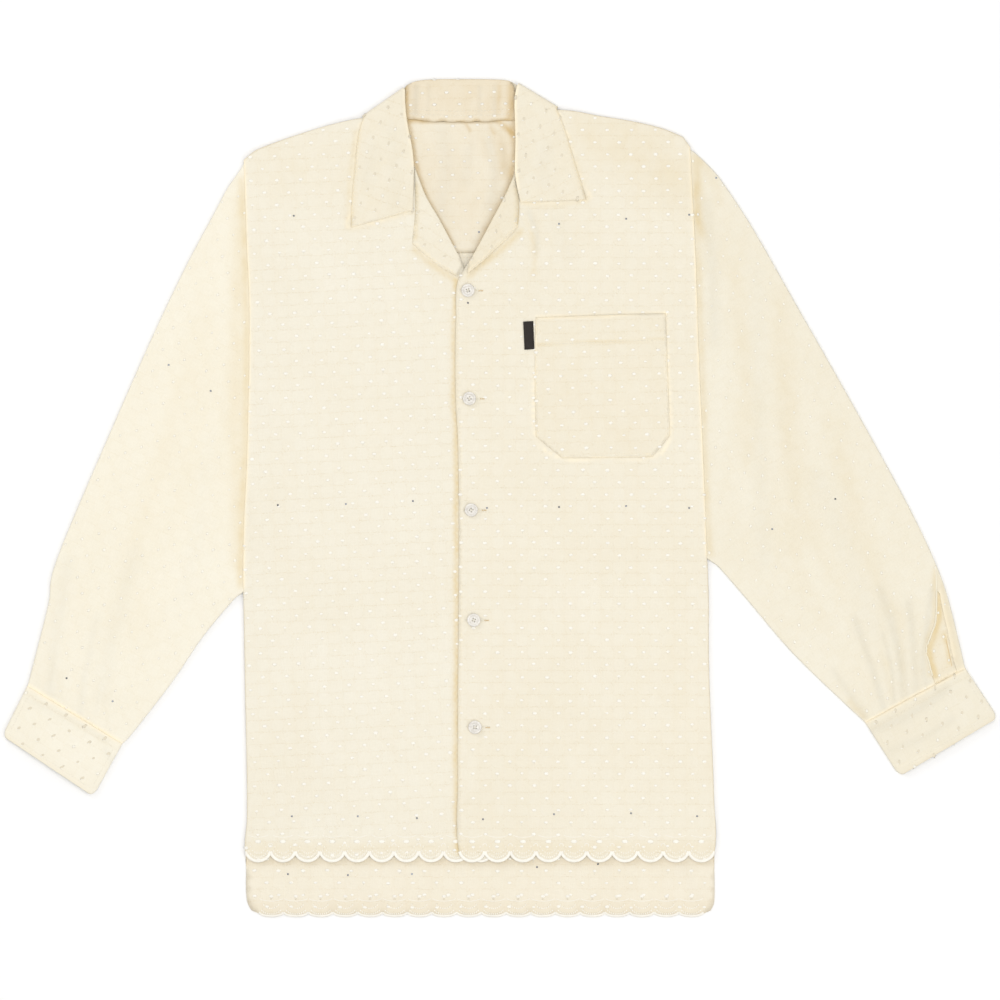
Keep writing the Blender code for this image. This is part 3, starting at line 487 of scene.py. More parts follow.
def panel(name, outline, height, mat, radius=None, step=4.0, warm=None, spacing=None):
    """Cloth over height(x, y) inside an outline of (x, y, turn) points; turn rolls an edge."""
    outline = refine(outline, spacing or step * 1.1)
    loop = np.array([(p[0], p[1]) for p in outline], float)
    turn = [p[2] for p in outline]
    area = np.sum(loop[:, 0] * np.roll(loop[:, 1], -1) - np.roll(loop[:, 0], -1) * loop[:, 1])
    if area < 0:
        loop, turn = loop[::-1].copy(), turn[::-1]
    count = len(loop)
    edge = np.roll(loop, -1, axis=0) - loop
    edge /= np.linalg.norm(edge, axis=1)[:, None]
    normal = np.stack([-edge[:, 1], edge[:, 0]], axis=1)
    coords, lift = [tuple(p) for p in loop], [0.0] * count
    ring, on_edge = {}, {}
    for i in range(count):
        before, after = (i - 1) % count, (i + 1) % count
        if not (turn[i] or turn[before] or turn[after]):
            continue
        sharp = normal[before] @ normal[i] < 0.8
        if not turn[i] and (sharp or (turn[before] and
                            normal[(before - 1) % count] @ normal[before] < 0.8)
                            or (turn[after] and normal[i] @ normal[after] < 0.8)):
            continue
        profile = roll_profile(float(radius(*loop[i])) if radius else ROLL_RADIUS)
        lift[i] = turn[i] * profile[0][1]
        ends_here = bool(turn[i]) and sharp and not (turn[before] and turn[after])
        if ends_here:
            free = edge[i] if not turn[after] else -edge[before]
            rolled = normal[before] if not turn[after] else normal[i]
            way = free / (free @ rolled)
        else:
            both = normal[before] + normal[i]
            way = 2 * both / (both @ both)
        ids = []
        for d, rise in profile[1:]:
            ids.append(len(coords))
            coords.append(tuple(loop[i] + way * d))
            lift.append(turn[i] * rise)
        ring[i] = ids
        if ends_here:
            on_edge[i] = (ids if not turn[after] else ids[::-1], not turn[after])
    border = []
    for i in range(count):
        if i in on_edge and not on_edge[i][1]:
            border += on_edge[i][0]
        border.append(i)
        if i in on_edge and on_edge[i][1]:
            border += on_edge[i][0]
    links = [(border[k], border[(k + 1) % len(border)]) for k in range(len(border))]
    for i in ring:
        j = (i + 1) % count
        if j in ring and (turn[i] or turn[j]):
            links += list(zip(ring[i], ring[j]))
    low, high = loop.min(axis=0), loop.max(axis=0)
    rise = step * 0.87
    grid = np.array([((k + 0.5 * (m % 2)) * step, m * rise)
                     for m in range(int(low[1] // rise), int(high[1] // rise) + 2)
                     for k in range(int(low[0] // step) - 1, int(high[0] // step) + 2)])
    grid = grid[inside(loop, grid)]
    if len(grid):
        grid = grid[clearance(loop, grid) > max(0.5 * step, 2.4 if any(turn) else 0.0)]
    coords += [tuple(p) for p in grid]
    lift += [0.0] * len(grid)
    found = delaunay_2d_cdt([tuple(map(float, c)) for c in coords], links, [border], 1, 1e-6)
    points = np.array([(v.x, v.y) for v in found[0]])
    z = height(points[:, 0], points[:, 1])
    raised = [max((lift[k] for k in ids), key=abs) if ids else 0.0 for ids in found[3]]
    verts = [(p[0], p[1], h + d) for p, h, d in zip(points, z, raised)]
    faces = [list(f) for f in found[2]]
    depth = warm(points[:, 0], points[:, 1]) if warm else np.zeros(len(points))
    from_edge = clearance(loop, points)
    # painted warm shade on rolled edges and along the outline
    depth = depth + 0.22 * np.abs(np.array(raised)) + 0.1 * np.exp(-(from_edge / 0.9) ** 2)
    return cloth_object(name, verts, faces, mat, turned_grain(*CUTS[name]), depth)


def grid_cloth(name, rows, mat, grain, warm, closed=False, wall=CLOTH):
    """Cloth through rows of points, with a painted warm shade at each."""
    width = len(rows[0])
    verts = [p for row in rows for p in row]
    faces = []
    for i in range(len(rows) - 1):
        for j in range(width if closed else width - 1):
            k = (j + 1) % width
            faces.append([i * width + j, i * width + k, (i + 1) * width + k, (i + 1) * width + j])
    return cloth_object(name, verts, faces, mat, grain, np.ravel(warm), wall)


def near_path(x, y, path):
    """Distance from points to a path."""
    pts = np.array(path, float)
    best = np.full(np.shape(x), 1e9)
    for a, b in zip(pts, pts[1:]):
        d = b - a
        t = np.clip(((x - a[0]) * d[0] + (y - a[1]) * d[1]) / (d @ d), 0, 1)
        best = np.minimum(best, np.hypot(x - a[0] - t * d[0], y - a[1] - t * d[1]))
    return best


def link(tree, source, target):
    tree.links.new(source, target)


def add(tree, kind, **values):
    made = tree.nodes.new(kind)
    for key, value in values.items():
        if hasattr(made, key):
            setattr(made, key, value)
        else:
            made.inputs[key.replace("_", " ")].default_value = value
    return made


def finish(name, colour, roughness, **sockets):
    """A new material with its even values set on the shader itself."""
    mat = bpy.data.materials.new(name)
    mat.use_nodes = True
    shader = mat.node_tree.nodes["Principled BSDF"]
    shader.inputs["Base Color"].default_value = (*colour, 1)
    shader.inputs["Roughness"].default_value = roughness
    for key, value in sockets.items():
        shader.inputs[key.replace("_", " ")].default_value = value
    return mat, mat.node_tree, shader


def stretched_noise(tree, source, across, up, detail=2.0, rough=0.5):
    """Noise whose grains are so many to the metre each way."""
    place = add(tree, "ShaderNodeMapping")
    place.inputs["Scale"].default_value = (across, up, max(min(across, up), 1.0))
    link(tree, source, place.inputs["Vector"])
    noise = add(tree, "ShaderNodeTexNoise", Scale=1.0, Detail=detail, Roughness=rough)
    link(tree, place.outputs["Vector"], noise.inputs["Vector"])
    return noise.outputs["Fac"]


def maths(tree, how, a, b):
    done = add(tree, "ShaderNodeMath", operation=how)
    for socket, value in zip(done.inputs, (a, b)):
        if isinstance(value, (int, float)):
            socket.default_value = value
        else:
            link(tree, value, socket)
    return done.outputs[0]


def vectors(tree, how, *values):
    done = add(tree, "ShaderNodeVectorMath", operation=how)
    for socket, value in zip(done.inputs, values):
        if isinstance(value, tuple):
            socket.default_value = value
        else:
            link(tree, value, socket)
    return done.outputs[0]


def blend_colour(tree, how, fac, a, b):
    done = add(tree, "ShaderNodeMix", data_type="RGBA", blend_type=how)
    for socket, value in ((done.inputs[0], fac), (done.inputs[6], a), (done.inputs[7], b)):
        if isinstance(value, tuple):
            socket.default_value = (*value, 1)
        elif isinstance(value, (int, float)):
            socket.default_value = value
        else:
            link(tree, value, socket)
    return done.outputs[2]


def ramp(tree, source, low, high):
    done = add(tree, "ShaderNodeMapRange", clamp=True)
    done.inputs["From Min"].default_value = low
    done.inputs["From Max"].default_value = high
    link(tree, source, done.inputs["Value"])
    return done.outputs["Result"]


def bumped(tree, shader, height, strength, distance):
    bump = add(tree, "ShaderNodeBump", Strength=strength, Distance=distance)
    link(tree, height, bump.inputs["Height"])
    link(tree, bump.outputs["Normal"], shader.inputs["Normal"])


FIGURE = 0.01142            # side of one square of the cloth's woven figure, in metres


def embroidered_lawn(name, colour, shade, warm_shade_colour, figure=1.0):
    """Soft cotton lawn: crossed slub threads, a woven net of squares and arcs, painted warm and
    grey shade, painted gold highlights.
    """
    mat, tree, shader = finish(name, colour, 0.88, Sheen_Weight=0.10, Sheen_Roughness=0.45,
                               Specular_IOR_Level=0.2)
    grain = add(tree, "ShaderNodeUVMap", uv_map="grain").outputs["UV"]
    warp, weft, slub, ticks, cloud, patch, fray, gaps, mottle = (
        stretched_noise(tree, grain, *size) for size in (
            (2400.0, 420.0), (380.0, 2300.0), (130.0, 620.0, 3.0), (640.0, 120.0, 3.0),
            (22.0, 17.0, 4.0), (6.0, 9.0), (700.0, 700.0), (60.0, 110.0), (70.0, 50.0, 3.0)))
    broken = maths(tree, "MULTIPLY", ramp(tree, fray, 0.42, 0.62), ramp(tree, gaps, 0.30, 0.52))

    # cells of the figure, one square to each dot or gap between dots
    wander = add(tree, "ShaderNodeTexNoise", Scale=190.0, Detail=2.0)
    link(tree, grain, wander.inputs["Vector"])
    cell = vectors(tree, "MULTIPLY", grain, (1 / FIGURE, 1 / FIGURE, 1 / FIGURE))
    moved = vectors(tree, "MULTIPLY_ADD", wander.outputs["Color"], (0.26, 0.22, 0.0), cell)
    within = vectors(tree, "FRACTION", vectors(tree, "ADD", moved, (0.37, 0.39, 0.0)))
    split = add(tree, "ShaderNodeSeparateXYZ")
    link(tree, vectors(tree, "SUBTRACT", within, (0.5, 0.5, 0.0)), split.inputs[0])
    across = maths(tree, "ABSOLUTE", split.outputs["X"], 0)
    up = maths(tree, "ABSOLUTE", split.outputs["Y"], 0)
    flat = add(tree, "ShaderNodeCombineXYZ")
    link(tree, split.outputs["X"], flat.inputs[0])
    link(tree, split.outputs["Y"], flat.inputs[1])
    round_cell = add(tree, "ShaderNodeVectorMath", operation="LENGTH")
    link(tree, flat.outputs[0], round_cell.inputs[0])
    ring = maths(tree, "ABSOLUTE", maths(tree, "SUBTRACT", round_cell.outputs["Value"], 0.55), 0)
    rows = ramp(tree, up, 0.46, 0.495)
    columns = maths(tree, "MULTIPLY", ramp(tree, across, 0.47, 0.497), 0.3)
    arcs = maths(tree, "MULTIPLY", ramp(tree, ring, 0.032, 0.012), 0.55)
    net = maths(tree, "MAXIMUM", maths(tree, "MAXIMUM", rows, columns), arcs)
    net = maths(tree, "MULTIPLY", net, broken)

    checks = add(tree, "ShaderNodeTexChecker", Scale=1 / FIGURE)
    centre = add(tree, "ShaderNodeMapping")
    centre.inputs["Location"].default_value = (FIGURE / 2, FIGURE / 2, 0.0001)
    link(tree, grain, centre.inputs["Vector"])
    link(tree, centre.outputs["Vector"], checks.inputs["Vector"])

    tone = maths(tree, "ADD", maths(tree, "MULTIPLY", slub, 0.5),
                 maths(tree, "MULTIPLY", ticks, 0.5))
    tone = maths(tree, "ADD", tone, maths(tree, "MULTIPLY", cloud, 0.5))
    tone = ramp(tree, tone, 0.5, 1.0)
    base = blend_colour(tree, "MIX", tone, shade, colour)
    base = blend_colour(tree, "MULTIPLY", 1.0, base,
                        blend_colour(tree, "MIX", ramp(tree, patch, 0.3, 0.7),
                                     (0.985, 0.975, 0.955), (1.0, 1.0, 1.0)))
    base = blend_colour(tree, "MULTIPLY", 1.0, base,
                        blend_colour(tree, "MIX", checks.outputs["Fac"], (0.996, 0.992, 0.984),
                                     (1.0, 1.0, 1.0)))
    base = blend_colour(tree, "MULTIPLY", maths(tree, "MULTIPLY", net, figure), base,
                        (0.935, 0.875, 0.78))
    # painted light and shade: warm mixes in painted warm shade, grey darkens as painted grey shade,
    # gold lightens as painted highlight
    warm, grey, gold = (add(tree, "ShaderNodeAttribute", attribute_name=label,
                            attribute_type="GEOMETRY").outputs["Fac"]
                        for label in ("warm", "grey", "gold"))
    uneven = maths(tree, "ADD", 0.3, maths(tree, "MULTIPLY", mottle, 1.4))
    base = blend_colour(tree, "MIX", maths(tree, "MULTIPLY", warm, uneven), base, warm_shade_colour)
    base = blend_colour(tree, "MULTIPLY", grey, base, (0.80, 0.81, 0.825))
    base = blend_colour(tree, "MIX", maths(tree, "MULTIPLY", gold, uneven), base,
                        (0.97, 0.86, 0.64))
    link(tree, base, shader.inputs["Base Color"])
    relief = maths(tree, "ADD", maths(tree, "ADD", warp, weft), maths(tree, "MULTIPLY", slub, 1.6))
    relief = maths(tree, "ADD", relief, maths(tree, "MULTIPLY", ticks, 1.8))
    relief = maths(tree, "SUBTRACT", relief, maths(tree, "MULTIPLY", net, 1.4 * figure))
    bumped(tree, shader, relief, 0.55, 0.00022)
    return mat


def thread(name, colour, roughness=0.5):
    """Mercerised embroidery thread laid in close satin stitches."""
    mat, tree, shader = finish(name, colour, roughness, Sheen_Weight=0.25, Sheen_Roughness=0.3,
                               Specular_IOR_Level=0.35)
    at = add(tree, "ShaderNodeTexCoord").outputs["Object"]
    laid = stretched_noise(tree, at, 2600.0, 910.0, 2.0)
    tone = stretched_noise(tree, at, 240.0, 240.0, 3.0)
    base = blend_colour(tree, "MIX", ramp(tree, tone, 0.3, 0.7),
                        tuple(c * 0.93 for c in colour), colour)
    link(tree, base, shader.inputs["Base Color"])
    bumped(tree, shader, laid, 0.6, 0.00015)
    return mat


def pearl_finish():
    """Cream mother-of-pearl: cloudy bands under a clear polish."""
    mat, tree, shader = finish("pearl", (0.74, 0.705, 0.65), 0.3, Coat_Weight=0.2,
                               Coat_Roughness=0.12, Specular_IOR_Level=0.55)
    at = add(tree, "ShaderNodeTexCoord").outputs["Object"]
    cloud = stretched_noise(tree, at, 160.0, 420.0, 4.0, 0.6)
    fine = stretched_noise(tree, at, 900.0, 300.0, 3.0)
    base = blend_colour(tree, "MIX", ramp(tree, cloud, 0.35, 0.65), (0.62, 0.59, 0.54),
                        (0.79, 0.758, 0.70))
    base = blend_colour(tree, "MIX", ramp(tree, fine, 0.55, 0.8), base, (0.78, 0.785, 0.77))
    link(tree, base, shader.inputs["Base Color"])
    link(tree, ramp(tree, cloud, 1.6, -0.6), shader.inputs["Roughness"])
    bumped(tree, shader, fine, 0.15, 0.0001)
    return mat


def woven_tab():
    """Tight black ribbon with fine ribs across it."""
    mat, tree, shader = finish("tab", (0.016, 0.012, 0.010), 0.62, Sheen_Weight=0.2,
                               Sheen_Roughness=0.4, Specular_IOR_Level=0.3)
    grain = add(tree, "ShaderNodeUVMap", uv_map="grain").outputs["UV"]
    ribs = add(tree, "ShaderNodeTexWave", wave_type="BANDS", bands_direction="Y", Scale=640.0,
               Distortion=0.4)
    link(tree, grain, ribs.inputs["Vector"])
    slub = stretched_noise(tree, grain, 900.0, 2400.0)
    base = blend_colour(tree, "MIX", ramp(tree, slub, 0.3, 0.8), (0.011, 0.008, 0.007),
                        (0.035, 0.027, 0.022))
    link(tree, base, shader.inputs["Base Color"])
    bumped(tree, shader, maths(tree, "ADD", ribs.outputs["Fac"], slub), 0.5, 0.00018)
    return mat


def crystal_finish():
    # painted reflection: clear stones given a dark grey to blue base for the dark surroundings they
    # reflect
    mat, tree, shader = finish("crystal", (0.16, 0.17, 0.19), 0.08, Specular_IOR_Level=0.9,
                               Coat_Weight=0.6)
    at = add(tree, "ShaderNodeTexCoord").outputs["Object"]
    tone = stretched_noise(tree, at, 30.0, 30.0, 1.0)
    link(tree, blend_colour(tree, "MIX", ramp(tree, tone, 0.35, 0.7), (0.07, 0.075, 0.085),
                            (0.34, 0.37, 0.42)), shader.inputs["Base Color"])
    return mat


# each lawn: its colour, a darker slub tone, and the colour of its painted warm shade
COTTON = embroidered_lawn("cotton", (0.802, 0.771, 0.674), (0.774, 0.733, 0.625),
                          (0.70, 0.575, 0.35))
COTTON_SLEEVE = embroidered_lawn("cotton_sleeve", (0.830, 0.793, 0.683), (0.802, 0.757, 0.636),
                                 (0.70, 0.575, 0.35), 0.4)
COTTON_INSIDE = embroidered_lawn("cotton_inside", (0.813, 0.766, 0.648), (0.780, 0.722, 0.596),
                                 (0.60, 0.44, 0.22), 0.9)
WHITE_THREAD = thread("white_thread", (0.862, 0.834, 0.756))
EDGE_THREAD = thread("edge_thread", (0.838, 0.806, 0.726))
CREAM_THREAD = thread("cream_thread", (0.800, 0.752, 0.632), 0.6)
SLEEVE_THREAD = thread("sleeve_thread", (0.855, 0.822, 0.722), 0.6)
# darker thread that also paints the shade inside the sunk dots of collar and cuffs and in the hem's
# eyelets
HOLLOW_SHADE_THREAD = thread("dimple_thread", (0.705, 0.640, 0.505), 0.8)
COTTON_EDGE = thread("cotton_edge", (0.81, 0.755, 0.61), 0.85)
# brown for painted shadow and shade: in the sleeve's slit, along the neck seam and in the
# buttonhole ends
BROWN_SHADE = thread("seam_brown", (0.66, 0.50, 0.28), 0.8)
PEARL, TAB_BLACK, CRYSTAL = pearl_finish(), woven_tab(), crystal_finish()


def tree_input(group, label, kind, value=None):
    made = group.interface.new_socket(name=label, in_out="INPUT", socket_type=kind)
    if value is not None:
        made.default_value = value
    return made.identifier


def dress(group, source, start, end):
    """The end of a tree: a real mesh, shaded smooth, in the thread that is asked for."""
    real = add(group, "GeometryNodeRealizeInstances")
    smoothed = add(group, "GeometryNodeSetShadeSmooth")
    coated = add(group, "GeometryNodeSetMaterial")
    link(group, source, real.inputs[0])
    link(group, real.outputs[0], smoothed.inputs[0])
    link(group, smoothed.outputs[0], coated.inputs[0])
    link(group, start.outputs["Thread"], coated.inputs["Material"])
    link(group, coated.outputs[0], end.inputs[0])


def sewn_marks_tree():
    """Small raised shapes set on points, by each point's own turn and size."""
    group = bpy.data.node_groups.new("sewn_marks", "GeometryNodeTree")
    group.interface.new_socket(name="Geometry", in_out="OUTPUT", socket_type="NodeSocketGeometry")
    keys = {"points": tree_input(group, "Points", "NodeSocketGeometry")}
    for label in ("Width", "Length", "Height"):
        keys[label] = tree_input(group, label, "NodeSocketFloat", 0.002)
    keys["Sides"] = tree_input(group, "Sides", "NodeSocketInt", 8)
    keys["Rings"] = tree_input(group, "Rings", "NodeSocketInt", 4)
    keys["Thread"] = tree_input(group, "Thread", "NodeSocketMaterial")
    start, end = add(group, "NodeGroupInput"), add(group, "NodeGroupOutput")
    bead = add(group, "GeometryNodeMeshUVSphere", Radius=0.5)
    link(group, start.outputs["Sides"], bead.inputs["Segments"])
    link(group, start.outputs["Rings"], bead.inputs["Rings"])
    size = add(group, "ShaderNodeCombineXYZ")
    for socket, label in zip(size.inputs, ("Width", "Length", "Height")):
        link(group, start.outputs[label], socket)
    own, turn = (add(group, "GeometryNodeInputNamedAttribute", data_type="FLOAT_VECTOR",
                     Name=label) for label in ("size", "turn"))
    scaled = vectors(group, "MULTIPLY", size.outputs[0], own.outputs["Attribute"])
    euler = add(group, "FunctionNodeEulerToRotation")
    link(group, turn.outputs["Attribute"], euler.inputs[0])
    sown = add(group, "GeometryNodeInstanceOnPoints")
    link(group, start.outputs["Points"], sown.inputs["Points"])
    link(group, bead.outputs["Mesh"], sown.inputs["Instance"])
    link(group, euler.outputs[0], sown.inputs["Rotation"])
    link(group, scaled, sown.inputs["Scale"])
    dress(group, sown.outputs[0], start, end)
    return group, keys


def sewn_line_tree():
    """A laid cord or satin edge swept along a path of edges."""
    group = bpy.data.node_groups.new("sewn_line", "GeometryNodeTree")
    group.interface.new_socket(name="Geometry", in_out="OUTPUT", socket_type="NodeSocketGeometry")
    keys = {"points": tree_input(group, "Path", "NodeSocketGeometry")}
    for label in ("Width", "Height"):
        keys[label] = tree_input(group, label, "NodeSocketFloat", 0.002)
    keys["Sides"] = tree_input(group, "Sides", "NodeSocketInt", 8)
    keys["Thread"] = tree_input(group, "Thread", "NodeSocketMaterial")
    start, end = add(group, "NodeGroupInput"), add(group, "NodeGroupOutput")
    curve = add(group, "GeometryNodeMeshToCurve")
    upright = add(group, "GeometryNodeSetCurveNormal", mode="Z_UP")
    round_profile = add(group, "GeometryNodeCurvePrimitiveCircle", Radius=0.5)
    flat = add(group, "GeometryNodeTransform")
    size = add(group, "ShaderNodeCombineXYZ")
    link(group, start.outputs["Width"], size.inputs[0])
    link(group, start.outputs["Height"], size.inputs[1])
    size.inputs[2].default_value = 1.0
    link(group, start.outputs["Sides"], round_profile.inputs["Resolution"])
    link(group, round_profile.outputs[0], flat.inputs[0])
    link(group, size.outputs[0], flat.inputs["Scale"])
    swept = add(group, "GeometryNodeCurveToMesh", Fill_Caps=True)
    link(group, start.outputs["Path"], curve.inputs[0])
    link(group, curve.outputs[0], upright.inputs[0])
    link(group, upright.outputs[0], swept.inputs["Curve"])
    link(group, flat.outputs[0], swept.inputs["Profile Curve"])
    dress(group, swept.outputs[0], start, end)
    return group, keys


MARKS, LINES = sewn_marks_tree(), sewn_line_tree()


def grown(name, base, tree, values):
    """The plain mesh that a node tree makes of a base mesh."""
    group, keys = tree
    carrier = put(name + "_base", base)
    step = carrier.modifiers.new("sewn", "NODES")
    step.node_group = group
    for label, value in values.items():
        step[keys[label]] = value
    seen = carrier.evaluated_get(bpy.context.evaluated_depsgraph_get())
    mesh = bpy.data.meshes.new_from_object(seen)
    mesh.name = name
    bpy.data.objects.remove(carrier)
    bpy.data.meshes.remove(base)
    obj = put(name, mesh)
    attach(obj, "root")
    return obj


def sew_marks(name, marks, mat, width, length, height, sides=8, rings=4):
    """marks: (position, normal, way, size factors); one small raised shape for each."""
    base = bpy.data.meshes.new(name)
    base.from_pydata([tuple(c * MM for c in m[0]) for m in marks], [], [])
    turns, sizes = [], []
    for _, normal, way, size in marks:
        n = Vector(normal).normalized()
        w = Vector(way) - n * Vector(way).dot(n)
        w.normalize()
        side = w.cross(n)
        turned = Matrix((side, w, n)).transposed()
        turns += list(turned.to_euler())
        sizes += list(size)
    for label, data in (("turn", turns), ("size", sizes)):
        base.attributes.new(label, "FLOAT_VECTOR", "POINT").data.foreach_set("vector", data)
    obj = grown(name, base, MARKS, {"Width": width * MM, "Length": length * MM,
                                    "Height": height * MM, "Sides": sides, "Rings": rings,
                                    "Thread": mat})
    return obj


def sew_lines(name, paths, mat, width, height, sides=8):
    """A cord along each path of (x, y, z) points."""
    verts, edges = [], []
    for path in paths:
        start = len(verts)
        verts += [tuple(c * MM for c in p) for p in path]
        edges += [(k, k + 1) for k in range(start, len(verts) - 1)]
    base = bpy.data.meshes.new(name)
    base.from_pydata(verts, edges, [])
    obj = grown(name, base, LINES, {"Width": width * MM, "Height": height * MM, "Sides": sides,
                                    "Thread": mat})
    return obj


def bow(t):
    """Round drop of a scallop, 0 at its cusps and 1 at its middle."""
    t = np.clip(t, 0, 1)
    low, high = math.sqrt(0.06), math.sqrt(1.06)
    return (np.sqrt(1.06 - (2 * t - 1) ** 2) - low) / (high - low)


def scallops(x0, x1, count, y, depth, steps=12):
    """Outline points of a scalloped hem."""
    points = []
    for i in range(count):
        for j in range(steps):
            t = j / steps
            points.append((x0 + (x1 - x0) * (i + t) / count, y - depth * bow(t), 0))
    return points


def edge_points(table, underarm, way, top=1e9, arm=0.0):
    """Edge points from the top down; they roll to the side seam, and by arm above it."""
    points = []
    for x, y in table:
        turn = arm if y > underarm - 2 else (0.5 if y > underarm - 10 else 1)
        if y < top:
            points.append((x, y, way * turn))
    return points


def shade_of(creases, paths=(), gain=0.12):
    """Painted warm shade where the cloth sinks beside its folds, and along given lines."""
    def warm(x, y):
        sunk = np.zeros(np.shape(x))
        for path, half, height in creases:
            if height > 0:
                beside = fold(x, y, path, half * 2.1, height) - fold(x, y, path, half,
                                                                     height * 1.15)
                sunk = sunk + np.maximum(beside, 0)
            else:
                sunk = sunk - fold(x, y, path, half, height)
        total = gain * sunk
        for path, half, strength in paths:
            total = total + strength * np.exp(-(near_path(x, y, path) / half) ** 2)
        return np.clip(total, 0, 0.95)
    return warm


NECK_SHADE = [
    ([(-64, 357.4), (-40, 356.6), (-17, 356.2), (16, 356.8), (30, 358.2)], 1.4, 0.5),
    ([(-66, 357), (-52, 356.6)], 2.6, 0.7),
    ([(-65, 356), (-62.2, 340), (-58.8, 318), (-54, 300), (-48.8, 284), (-36, 262), (-24, 240)],
     2.4, 0.6),
    ([(34, 356), (34, 330), (32.5, 310), (27, 290), (14, 264), (0, 238)], 3.2, 0.34),
    ([(19, 356.5), (26, 350), (34, 343)], 2.6, 0.7), ([(12, 352), (16, 344)], 1.6, 0.4),
    ([(31, 350), (32, 326), (29, 306)], 5, 0.26), ([(-12, 354), (-8, 347)], 1.6, 0.4),
    ([(-48, 234), (-20, 234), (-4, 234)], 1.2, 0.35)]
HEM_SHADE = [([(-216, -327), (0, -327), (221, -327)], 6.0, 0.2)]


def build_back():
    top = YOKE_SEAM_Y - GAP / 2
    left = [(along(LEFT_EDGE, top), top, 0)] + edge_points(LEFT_EDGE, LEFT_UNDERARM, 1, top)
    right = [(along(RIGHT_EDGE, top), top, 0)] + edge_points(RIGHT_EDGE, RIGHT_UNDERARM, 1, top)
    tail_left = [(-217.8, -344, 0), (-217.6, -372, 0), (-216.4, -379, 0), (-213, -385.6, 0)]
    tail_right = [(222, -344, 0), (222.3, -372, 0), (221.6, -380, 0), (218.5, -386, 0)]
    hem = scallops(*BACK_HEM, BACK_SCALLOPS, BACK_HEM_Y, BACK_SCALLOP)
    outline = left + tail_left + hem + [(BACK_HEM[1], BACK_HEM_Y, 0)] + (right + tail_right)[::-1]
    # painted warm shade in the back's lower creases, in the shadow under the front's hem and above
    # the back's own hem
    return panel("back", outline, back_z, COTTON_INSIDE, seam_radius, step=6.0, spacing=4.0,
                 warm=shade_of([c for c in BACK_CREASES if c[0][0][1] < 0], [(
                     [(-216, -340), (0, -340), (221, -340)], 4.0, 0.22),
                     ([(-214, -384), (0, -384), (218, -384)], 7.0, 0.14)]))


def build_yoke():
    low = YOKE_SEAM_Y - 1.5
    left = [(x, y, 0) for x, y in LEFT_EDGE if y > low][::-1]
    right = [(x, y, 0) for x, y in RIGHT_EDGE if y > low]
    left[-1] = (*left[-1][:2], 1)
    right[0] = (*right[0][:2], 1)
    outline = ([(along(LEFT_EDGE, low), low, 0)] + left
               + [(x, y, 1) for x, y in LEFT_SHOULDER]
               + [(x, y, 0) for x, y in NECK]
               + [(x, y, 1) for x, y in RIGHT_SHOULDER[::-1]] + right
               + [(along(RIGHT_EDGE, low), low, 0)])
    return panel("back_yoke", outline, lambda x, y: back_z(x, y) + (CLOTH + 0.04) * (
        1 - smooth((y - YOKE_SEAM_Y - 2) / 7)), COTTON_INSIDE, seam_radius, step=3.0, spacing=4.0,
                 warm=shade_of(BACK_CREASES, NECK_SHADE, 0.16))


RIGHT_FRONT_SHADE = [
    ([(x - 1.6 + 0.5 * math.sin(y / 9.0), y) for x,
      y in bend([(-18.8, 206), (-20.7, 170), (-20.7, 89), (-18.8, 56), (-18.8, -40), (-18.8, -150),
                 (-18.8, -263), (-17.5, -331)], 6)], 2.4, 0.8),
    ([(-190, 310), (-150, 320), (-110, 300)], 34, 0.1),
    ([(-60, 236), (-50, 226), (-30, 212), (-18, 205)], 3.0, 0.5),
    ([(-122, 256), (-121, 290), (-118, 320), (-114, 346)], 2.6, 0.28),
    ([(-118, 254), (-90, 263), (-62, 270)], 2.4, 0.18)] + HEM_SHADE
LEFT_FRONT_SHADE = [
    ([(110, 345), (150, 330), (190, 300)], 30, 0.18),
    ([(40, 252), (34, 246), (18, 232), (2, 220), (-8, 210)], 3.0, 0.5),
    ([(44, 279), (70, 276), (100, 281)], 2.4, 0.25),
    ([(104, 283), (98, 300), (92, 320), (86, 340)], 2.4, 0.15),
    ([(51, 250), (54, 230), (52, 212)], 2.4, 0.3)] + HEM_SHADE


def build_right_front():
    def radius(x, y):
        return ROLL_RADIUS if x > -70 else seam_radius(x, y)

    side = edge_points(LEFT_EDGE, LEFT_UNDERARM, -1, arm=0.45)
    side[0] = (*side[0][:2], -1)
    shoulder = [(x, y, -1) for x, y in LEFT_SHOULDER[::-1]]
    neck = [(-73.3, 372, 0), (-71.9, 358, 0), (-67, 335, 0), (-62, 317, 0)]
    roll = [(-59, 311, 0.5), (-49.2, 286, 1), (-35.7, 262.5, 1), (-22.3, 237.3, 1)]
    under = [(-17.5, 228.6, 0), (-11.3, 214.3, 0), (1.9, 202, 0), (UNDERLAP_X, 188, 0),
             (UNDERLAP_X, FRONT_HEM_Y, 0)]
    hem = scallops(*FRONT_HEMS["right_front"], FRONT_SCALLOPS, FRONT_HEM_Y, FRONT_SCALLOP)[1:]
    side[-1] = (-218.2, FRONT_HEM_Y, -1)
    return panel("right_front", side + hem + under[::-1] + roll[::-1] + neck[::-1] + shoulder,
                 front_z, COTTON, radius, step=3.6, spacing=3.6,
                 warm=shade_of(FRONT_CREASES, RIGHT_FRONT_SHADE))


